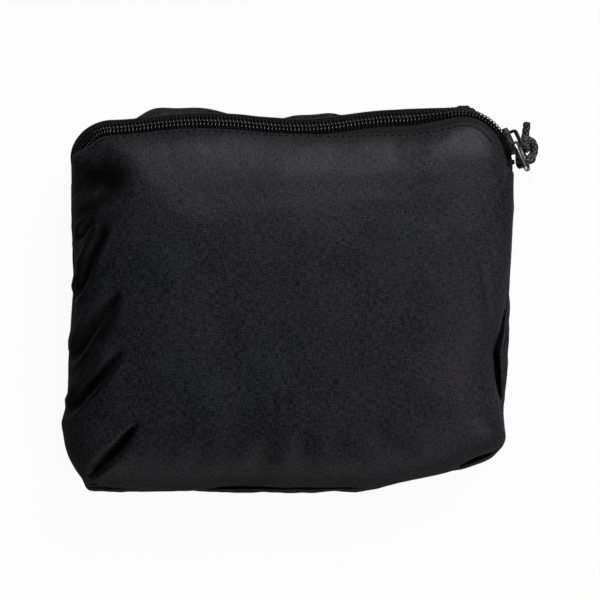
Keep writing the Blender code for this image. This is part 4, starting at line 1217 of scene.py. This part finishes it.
def make_back():
    """The back panel, flat on the table, its edge turned up to the gussets and bulging under the zip."""
    piece, share, x, y, (_, _, rim_z, zipped) = round_rim(BACK_RIM, *BACK_GRID)
    turned = 1.0 - BACK_ROUND / (POUCH_HEIGHT / 2)
    rise = np.clip((share - turned) / (1.0 - turned), 0.0, 1.0)
    z = rim_z * (1.0 - np.sqrt(1.0 - rise * rise))
    placed(piece, x, y, z)
    piece.name = "back_cloth"
    turned_over(piece)
    bulge = sum(height * bumps(length_at(place * MM, BULGE_Y), reach * MM)
                for place, reach, height in BACK_BULGES)
    swell = by_heading(BACK_RIM, bulge, np.arctan2(y, x))
    up = (z / np.maximum(rim_z, MM) - BULGE_FOOT) / BULGE_SPAN
    profile = np.sin(np.pi * np.clip(up, 0.0, 1.0)) ** BULGE_POWER
    rippled = ripples(x, y, BACK_RIPPLES) * ease((share - BACK_RIPPLES_FROM) / BACK_RIPPLES_OVER)
    sewn = turned_in(share, SEAM_TURN) * (1.0 - zipped)
    lift = np.minimum(rippled + MM * swell * profile, np.maximum(z, 0.0) + BULGE_ROOM * rise)
    moved_along_normals(piece, lift * (rise > 0.0) - SEAM_DRAWN * sewn)
    above = points_of(piece)
    above[:, 2] = np.maximum(above[:, 2], 0.0)
    piece.data.vertices.foreach_set("co", above.ravel())
    unrolled_map(piece, x, y, z)
    finish_modifier(piece, "SOLIDIFY", thickness=CLOTH, offset=-1.0)
    dressed(piece, NYLON, "pouch", "nylon_cloth", "back_panel")
    return piece


def along_rim(values, distance):
    """A value given at every rim point, read at a length along the outline."""
    return float(np.interp(distance, RIM_AT, values, period=OUTLINE.length))


def rim_at(rim, distance):
    return np.array([along_rim(rim[:, axis], distance) for axis in range(3)])


def make_gusset(name, node, low, high, seed):
    """A sagging strip between the two panels, puckered by its seams."""
    columns = GUSSET_COLUMNS
    rows = int((high - low) / GUSSET_ROW)
    points = []
    uv = []
    for row in range(rows + 1):
        distance = low + (high - low) * row / rows
        _, outward = OUTLINE.at(distance)
        share_zip = zip_share(distance)
        front = rim_at(FRONT_RIM, distance)
        back = rim_at(BACK_RIM, distance)
        front_in = -SEAM_ROOM * (1.0 - share_zip)
        stand = along_rim(SIDE_STANDS, distance)
        front_stand = along_rim(FRONT_STANDS, distance)
        reach = stand - (front_stand - GUSSET_BACK_INSET) / 2
        reach += (GUSSET_ZIP_REACH - reach) * share_zip
        opened = float(ease((stand - front_stand - OPEN_FROM) / OPEN_OVER)) * (1.0 - share_zip)
        end_fade = float(ease(min(row, rows - row) / END_ROWS))
        for column in range(columns + 1):
            share = column / columns
            spot = back + (front - back) * share
            spot[2] += front_in * share + SEAM_ROOM * (1.0 - share)
            belly = 4.0 * share * (1.0 - share)
            tall = spot[2]
            wave = noise.noise((distance / WAVE_SIZE[0], tall / WAVE_SIZE[1], seed))
            fine = noise.noise((distance / FINE_SIZE[0], tall / FINE_SIZE[1], seed + 3.0))
            seam_pull = min(share, 1.0 - share)
            drawn = -GUSSET_DRAWN * max(0.0, 1.0 - seam_pull / GUSSET_DRAWN_SHARE) ** 2
            waved = MM * (WAVE_HEIGHT * wave + FINE_HEIGHT * fine) * min(1.0, belly * 1.5) * end_fade
            fold = opened * math.exp(-((1.0 - share - TUCK_AT) / TUCK_REACH) ** 2)
            out = belly * reach + waved + drawn * (1.0 - share_zip) - TUCK_IN * fold
            puff = math.exp(-((1.0 - share - PUFF_AT) / PUFF_REACH) ** 4) * min(1.0, belly * 4.0)
            tall += PUFF_RISE * opened * puff
            points.append((spot[0] + outward.x * out, spot[1] + outward.y * out, tall - TUCK_DEPTH * fold))
            uv.append((distance, tall))
    piece = mesh_piece(name, points, strip_faces(rows + 1, columns + 1), uv)
    finish_modifier(piece, "SOLIDIFY", thickness=CLOTH, offset=-1.0)
    dressed(piece, NYLON, "pouch", "nylon_cloth", node)


def make_gussets():
    right_corner = (OUTLINE.line_end(RIGHT_CORNER) + OUTLINE.arc_end(RIGHT_CORNER)) / 2
    left_corner = (OUTLINE.line_end(BOTTOM_LEFT) + OUTLINE.arc_end(BOTTOM_LEFT)) / 2
    half = SEAM_GAP / 2
    make_gusset("right_gusset_cloth", "right_gusset", ZIP_END + half, right_corner - half, 21.0)
    make_gusset("bottom_gusset_cloth", "bottom_gusset", right_corner + half, left_corner - half, 31.0)
    left_end = OUTLINE.length + ZIP_START
    make_gusset("left_gusset_cloth", "left_gusset", left_corner + half, left_end - half, 41.0)


# Changing bag folded inside the pouch

FOLD_WIDTH = POUCH_WIDTH - 34.0 * MM
FOLD_DEPTH = POUCH_HEIGHT - 37.0 * MM
FOLD_RUNS = 4
FOLD_SHIFT = -3.0 * MM
RUN_POINTS = 32
FOLD_POINTS = 12
BAG_COLUMNS = 44
BAG_RIPPLE = 0.25 * MM
BAG_RIPPLE_SIZE = 16.0 * MM
EDGE_WANDER = 1.2 * MM
EDGE_WANDER_SIZE = 17.0 * MM
PLY = 2.3 * MM
PLY_CLOTH = 1.7 * MM
FOLD_RADIUS = PLY + GAP
FOLD_REACH = FOLD_DEPTH / 2 - FOLD_RADIUS - PLY - GAP
FOLD_TOP = CLOTH + GAP + (FOLD_RUNS - 1) * 2.0 * FOLD_RADIUS + 2.0 * PLY + GAP
SLEEVE_LENGTH = 78.0 * MM
SLEEVE_SHOULDER = 56.0 * MM
SLEEVE_WRIST = 40.0 * MM
SLEEVE_THICK = 4.6 * MM
SLEEVE_WALL = 0.8 * MM
SLEEVE_SPACE = 6.0 * MM
SLEEVE_SHARE = 0.75
CUFF_LENGTH = 12.0 * MM
CUFF_GATHERS = 26
CUFF_ROOM = 1.0 * MM
SLEEVE_ROOM = 0.8 * MM
SLEEVE_RIPPLE = 0.3 * MM
SLEEVE_RIPPLE_SIZE = (9.0 * MM, 7.0 * MM)
SLEEVE_ROWS = 24
RING_STEPS = 120
RING_POWER = 0.6
BAG_ZIP_LENGTH = 84.0 * MM
BAG_ZIP_WIDTH = 24.0 * MM
BAG_ZIP_SPACE = 6.0 * MM
BAG_TAPE = 0.6 * MM
BAG_TAPE_GRID = (16, 56)
BAG_TAPE_WAVE = (11.0 * MM, 6.0 * MM)
BAG_TAPE_RIPPLE = 0.08 * MM


def folded_path():
    """Middle line of the zigzag fold as length, place and normal, from the bottom run to the top one."""
    bottom = CLOTH + GAP + GAP / 2 + PLY
    path = []
    for run in range(FOLD_RUNS):
        heading = 1.0 if run % 2 == 0 else -1.0
        level = bottom + 2.0 * FOLD_RADIUS * run
        for along in np.linspace(-FOLD_REACH, FOLD_REACH, RUN_POINTS):
            path.append((heading * along, level, 0.0, heading))
        if run < FOLD_RUNS - 1:
            for angle in np.linspace(0.0, math.pi, FOLD_POINTS)[1:-1]:
                path.append((heading * (FOLD_REACH + FOLD_RADIUS * math.sin(angle)),
                             level + FOLD_RADIUS * (1.0 - math.cos(angle)),
                             -math.sin(angle), heading * math.cos(angle)))
    return np.array(path)


def make_folded_bag(name, node, side, look, slot, seed):
    """One bag, both its walls in one thick ply, with uneven side edges and soft ripples."""
    path = folded_path()
    lengths = np.concatenate([[0.0], np.cumsum(np.linalg.norm(np.diff(path[:, :2], axis=0), axis=1))])
    columns = BAG_COLUMNS
    offset = side * (GAP + PLY) / 2
    points = []
    uv = []
    for (y, z, normal_y, normal_z), length in zip(path, lengths):
        edge = FOLD_WIDTH / 2 - EDGE_WANDER * abs(noise.noise((length / EDGE_WANDER_SIZE, seed, 0.0)))
        for column in range(columns + 1):
            x = edge * (2.0 * column / columns - 1.0)
            away = offset + BAG_RIPPLE * noise.noise((x / BAG_RIPPLE_SIZE, length / BAG_RIPPLE_SIZE, seed))
            points.append((x, y + FOLD_SHIFT + away * normal_y, z + away * normal_z))
            uv.append((x, length))
    piece = mesh_piece(name, points, strip_faces(len(path), columns + 1), uv)
    finish_modifier(piece, "SOLIDIFY", thickness=PLY_CLOTH, offset=0.0)
    dressed(piece, look, "pouch", slot, node)


def flat_ring(x, half_width, thick, gathers, depth, seed):
    """A flattened oval round a sleeve at x, with gathers or soft ripples."""
    ring = []
    for step in range(RING_STEPS):
        angle = math.tau * step / RING_STEPS
        across = math.copysign(abs(math.cos(angle)) ** RING_POWER, math.cos(angle)) * half_width
        height = math.copysign(abs(math.sin(angle)) ** RING_POWER, math.sin(angle)) * thick / 2
        if gathers:
            ripple = math.cos(gathers * angle)
        else:
            ripple = noise.noise((x / SLEEVE_RIPPLE_SIZE[0], across / SLEEVE_RIPPLE_SIZE[1], seed))
        ring.append((x, FOLD_SHIFT + across, FOLD_TOP + GAP + SLEEVE_THICK / 2 + height + depth * ripple))
    return ring


def make_sleeve_part(name, node, ends, widths, thick, gathers, depth, look, slot, seed):
    """A pressed tube of cloth, open at both ends."""
    rows = SLEEVE_ROWS
    rings = []
    for row in range(rows + 1):
        share = row / rows
        x = ends[0] + (ends[1] - ends[0]) * share
        half_width = (widths[0] + (widths[1] - widths[0]) * share) / 2
        rings.append(flat_ring(x, half_width, thick, gathers, depth, seed))
    faces = ring_faces(rows + 1, RING_STEPS)
    if ends[1] > ends[0]:
        faces = [face[::-1] for face in faces]
    points = [point for ring in rings for point in ring]
    pairs = zip(rings[0], rings[0][1:])
    round_length = sum((Vector(spot) - Vector(after)).length for spot, after in pairs)
    piece = mesh_piece(name, points, faces, [(point[1], point[0]) for point in points])
    finish_modifier(piece, "SOLIDIFY", thickness=SLEEVE_WALL, offset=-1.0)
    dressed(piece, look, "pouch", slot, node)


def make_sleeves():
    """Two sleeves pressed flat on the folded bag, shoulder ends together, each ending in a gathered cuff."""
    for word, side in (("left", -1.0), ("right", 1.0)):
        near = side * SLEEVE_SPACE / 2
        wrist = near + side * (SLEEVE_LENGTH - CUFF_LENGTH - SLEEVE_SPACE - GAP) * SLEEVE_SHARE
        cuff = (wrist + side * GAP, wrist + side * (GAP + CUFF_LENGTH))
        make_sleeve_part(word + "_sleeve_cloth", word + "_sleeve", (near, wrist),
                         (SLEEVE_SHOULDER, SLEEVE_WRIST), SLEEVE_THICK - SLEEVE_ROOM, 0, SLEEVE_RIPPLE,
                         NYLON, "nylon_cloth", 51.0 + side)
        make_sleeve_part(word + "_cuff_elastic", word + "_cuff", cuff, (SLEEVE_WRIST, SLEEVE_WRIST),
                         SLEEVE_THICK - CUFF_ROOM, CUFF_GATHERS, SLEEVE_RIPPLE, ELASTIC, "elastic", 61.0)


def make_bag_tape(name, node, middle, seed):
    """The woven tape of one of the bag's own zips, lying on the sleeves."""
    low = FOLD_TOP + GAP + SLEEVE_THICK + GAP + BAG_TAPE
    columns, rows = BAG_TAPE_GRID
    points = []
    for row in range(rows + 1):
        x = BAG_ZIP_LENGTH * (row / rows - 0.5)
        for column in range(columns + 1):
            across = BAG_ZIP_WIDTH * (column / columns - 0.5)
            wave = noise.noise((x / BAG_TAPE_WAVE[0], across / BAG_TAPE_WAVE[1], seed))
            points.append((x, middle - across, low + BAG_TAPE_RIPPLE * wave))
    piece = mesh_piece(name, points, strip_faces(rows + 1, columns + 1), [point[:2] for point in points])
    finish_modifier(piece, "SOLIDIFY", thickness=BAG_TAPE, offset=1.0)
    dressed(piece, TAPE, "pouch", "zip_tape", node)


def make_folded_contents():
    make_folded_bag("folded_outer_bag", "outer_bag", -1.0, NYLON, "nylon_cloth", 71.0)
    make_folded_bag("folded_inner_bag", "inner_bag", 1.0, LINING, "lining_cloth", 81.0)
    make_sleeves()
    aside = (BAG_ZIP_WIDTH + BAG_ZIP_SPACE) / 2
    make_bag_tape("outer_bag_tape", "outer_zip_tape", FOLD_SHIFT + aside, 91.0)
    make_bag_tape("inner_bag_tape", "inner_zip_tape", FOLD_SHIFT - aside, 95.0)


# Tapes, coils and stitches of the zip

TAPE_COLUMNS = 16
TAPE_ROW = 0.9 * MM
TAPE_WAVE = (7.0 * MM, 4.0 * MM)
TAPE_RIPPLE = 0.12 * MM
COIL_CLEAR = 2.0 * MM
COIL_PARTS = 14
COIL_LEAD = (0.76, 0.24)
COIL_LEAD_BACK = 0.38
COIL_HEAD_PLUMP = 0.12
THREAD_PARTS = 8
THREAD_WIDTH = 0.34 * MM
THREAD_ACROSS = 2.55 * MM
THREAD_PROUD = 0.12 * MM
THREAD_DIP = 0.1 * MM
STITCH_DIP = 0.25 * MM
STITCH_PROUD = 0.12
# How far out and up from the hem's edge each row of stitches is set
FRONT_STITCHES = (-0.6 * MM, 4.6 * MM)
BACK_STITCHES = (2.0 * MM, -3.6 * MM)


def make_tape(name, node, side):
    """A woven tape from under the coil out to its outer edge, with faint ripples."""
    columns = TAPE_COLUMNS
    rows = int((ZIP_END - ZIP_START) / TAPE_ROW)
    points = []
    uv = []
    for row in range(rows + 1):
        distance = ZIP_START + GAP / 2 + (ZIP_END - ZIP_START - GAP) * row / rows
        edge = TAPE_HALF if side > 0 else BACK_TAPE + (TAPE_HALF - BACK_TAPE) * corner_share(distance)
        for column in range(columns + 1):
            across = TAPE_INNER + (edge - TAPE_INNER) * column / columns
            wave = noise.noise((distance / TAPE_WAVE[0], across / TAPE_WAVE[1], side * 3.0))
            points.append(zip_point(distance, side * across, TAPE_THICK / 2 + TAPE_RIPPLE * wave))
            uv.append((distance, across))
    piece = mesh_piece(name, points, strip_faces(rows + 1, columns + 1), uv)
    if side > 0:
        turned_over(piece)
    finish_modifier(piece, "SOLIDIFY", thickness=TAPE_THICK, offset=-1.0)
    dressed(piece, TAPE, "pouch", "zip_tape", node)


def coil_run():
    """Where the coils start past the bottom stop, and how many turns reach the slider's divider."""
    scale = TOP_RIGHT_RADIUS / TRACK_RADIUS
    start = ZIP_START + BOTTOM_STOP_LENGTH + COIL_CLEAR
    end = SLIDER_AT + (SLIDER_LENGTH / 2 - DIVIDER_LENGTH - COIL_PITCH) * scale
    return start, int((end - start) / COIL_PITCH) - 1


def make_coil(name, node, side, shift):
    """One continuous strand coiled flat, its heads locked between those of the other row."""
    start, turns = coil_run()
    middle = (COIL_OUTER + COIL_HEAD) / 2
    swing = (COIL_OUTER - COIL_HEAD) / 2
    points = []
    radii = []
    for step in range(turns * COIL_PARTS + 1):
        turn, part = divmod(step, COIL_PARTS)
        angle = math.tau * part / COIL_PARTS
        over, under = min(angle, math.pi), max(0.0, angle - math.pi)
        slide = COIL_LEAD[0] * over / math.pi + COIL_LEAD[1] * under / math.pi
        distance = start + (turn + shift + slide - COIL_LEAD_BACK) * COIL_PITCH
        across = middle + swing * math.cos(angle)
        points.append(zip_point(distance, side * across, COIL_MIDDLE + COIL_RISE * math.sin(angle)))
        radii.append(1.0 + COIL_HEAD_PLUMP * max(0.0, -math.cos(angle)) ** 6)
    piece = tube(name, points, COIL_STRAND, 2, radii=radii)
    dressed(piece, COIL, "pouch", "zip_coil", node)


def make_coil_thread(name, side):
    """The chain stitch that holds a coil to its tape, dipping between the turns."""
    start, turns = coil_run()
    points = []
    for step in range(turns * THREAD_PARTS):
        distance = start + step / THREAD_PARTS * COIL_PITCH
        dip = THREAD_DIP * math.cos(math.tau * step / THREAD_PARTS)
        points.append(zip_point(distance, side * THREAD_ACROSS, COIL_MIDDLE + COIL_RISE + THREAD_PROUD + dip))
    dressed(tube(name, points, THREAD_WIDTH, 1), THREAD, "pouch", "zip_tape")


def one_stitch():
    """A single stitch: a plump thread whose ends dip into the cloth, lying along X."""
    bpy.ops.object.select_all(action="DESELECT")
    bpy.ops.mesh.primitive_uv_sphere_add(segments=8, ring_count=6, radius=0.5)
    stitch = bpy.context.object
    whole_selected(stitch)
    bpy.ops.transform.resize(value=(STITCH_LENGTH, STITCH_WIDTH, STITCH_WIDTH))
    bpy.ops.object.mode_set(mode="OBJECT")
    points = points_of(stitch)
    faces = [tuple(face.vertices) for face in stitch.data.polygons]
    bpy.data.objects.remove(stitch)
    points[:, 2] -= STITCH_DIP * (2.0 * points[:, 0] / STITCH_LENGTH) ** 2
    return points, faces


def stitch_row(name, cloth, spots):
    """Stitches laid along spots on a cloth, each turned to the row and to the cloth's face."""
    shape, faces = one_stitch()
    tree = BVHTree.FromObject(cloth, bpy.context.evaluated_depsgraph_get())
    points = []
    joined = []
    for index in range(1, len(spots) - 1):
        place, normal, _, _ = tree.find_nearest(Vector(spots[index]))
        ahead = (Vector(spots[index + 1]) - Vector(spots[index - 1])).normalized()
        if normal.dot(Vector(spots[index]) - place) < 0:
            normal = -normal
        side = normal.cross(ahead).normalized()
        ahead = side.cross(normal)
        turn = np.array((ahead, side, normal))
        base = len(points)
        points.extend(shape @ turn + np.array(place + normal * STITCH_WIDTH * STITCH_PROUD))
        joined.extend(tuple(base + corner for corner in face) for face in faces)
    dressed(mesh_piece(name, points, joined), THREAD, "pouch", "nylon_cloth")


def hem_spots(rim, inward):
    """Even spots along a hem, set in from its edge and clear of the cloth."""
    low = OUTLINE.line_end(TOP_LEFT) + HEM_COVER[0] + HEM_COVER_EASE[0] / 2
    high = OUTLINE.arc_end(TOP_RIGHT) - HEM_COVER[1] - 2.0 * HEM_COVER_EASE[1]
    spots = []
    for distance in np.arange(low, high, STITCH_PITCH):
        _, outward = OUTLINE.at(distance)
        edge = rim_at(rim, distance)
        spots.append((edge[0] + outward.x * inward[0], edge[1] + outward.y * inward[0], edge[2] + inward[1]))
    return spots


def rounded_loop():
    """Points round the pull loop, with its near bar on the crown."""
    corners = ((0.0, -1.0), (LOOP_LENGTH, -1.0), (LOOP_LENGTH, 1.0), (0.0, 1.0))
    points = []
    for index, (x, side) in enumerate(corners):
        centre_x = x + (LOOP_RADIUS if x == 0.0 else -LOOP_RADIUS)
        centre_z = side * (LOOP_HALF - LOOP_RADIUS)
        start = math.pi + index * math.pi / 2
        for part in range(LOOP_PARTS + 1):
            angle = start + math.pi / 2 * part / LOOP_PARTS
            points.append(Vector((LOOP_X + centre_x + LOOP_RADIUS * math.cos(angle), LOOP_Y,
                                  centre_z + LOOP_RADIUS * math.sin(angle))))
    return points


def make_loop():
    piece = tube("wire_pull_loop", [HEAD @ point for point in rounded_loop()], LOOP_WIRE, 6, cyclic=True)
    dressed(piece, NICKEL, "loop", "nickel_wire", "pull_loop")


def make_slider():
    """The slider's own shape with its cast edges rounded."""
    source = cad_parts["zip_slider"]
    piece = bpy.data.objects.new("cast_slider", source.data.copy())
    bpy.context.scene.collection.objects.link(piece)
    whole_selected(piece)
    bpy.ops.mesh.remove_doubles(threshold=SLIDER_WELD)
    bpy.ops.mesh.dissolve_limited(angle_limit=SLIDER_FLAT)
    bpy.ops.object.mode_set(mode="OBJECT")
    finish_modifier(piece, "BEVEL", width=SLIDER_BEVEL, segments=2, limit_method="ANGLE",
                    angle_limit=SLIDER_EDGE)
    only(piece)
    bpy.ops.object.shade_smooth_by_angle(angle=SLIDER_SMOOTH)
    dressed(piece, CAST, "slider", "black_cast_metal", "zip_slider")


make_camera()
make_floor()
make_light()
HEAD = slider_frame()
make_cord(HEAD)
front = make_front()
back = make_back()
make_gussets()
make_folded_contents()
make_tape("front_tape", "zip_tape_front", 1.0)
make_tape("back_tape", "zip_tape_back", -1.0)
make_coil("front_coil", "zip_coil_front", 1.0, 0.0)
make_coil("back_coil", "zip_coil_back", -1.0, 0.5)
make_coil_thread("front_coil_thread", 1.0)
make_coil_thread("back_coil_thread", -1.0)
stitch_row("front_hem_stitches", front, hem_spots(FRONT_RIM, FRONT_STITCHES))
stitch_row("back_hem_stitches", back, hem_spots(BACK_RIM, BACK_STITCHES))
make_loop()
make_slider()

KEPT_NODES = {
    "zip_bottom_stop": CAST, "zip_top_stop_front": CAST, "zip_top_stop_back": CAST,
    "outer_zip_chain": COIL, "outer_zip_slider": CAST, "outer_zip_pull": CAST,
    "inner_zip_chain": COIL, "inner_zip_slider": CAST, "inner_zip_pull": CAST,
}
for name, look in KEPT_NODES.items():
    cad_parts[name].data.materials.clear()
    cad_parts[name].data.materials.append(look)
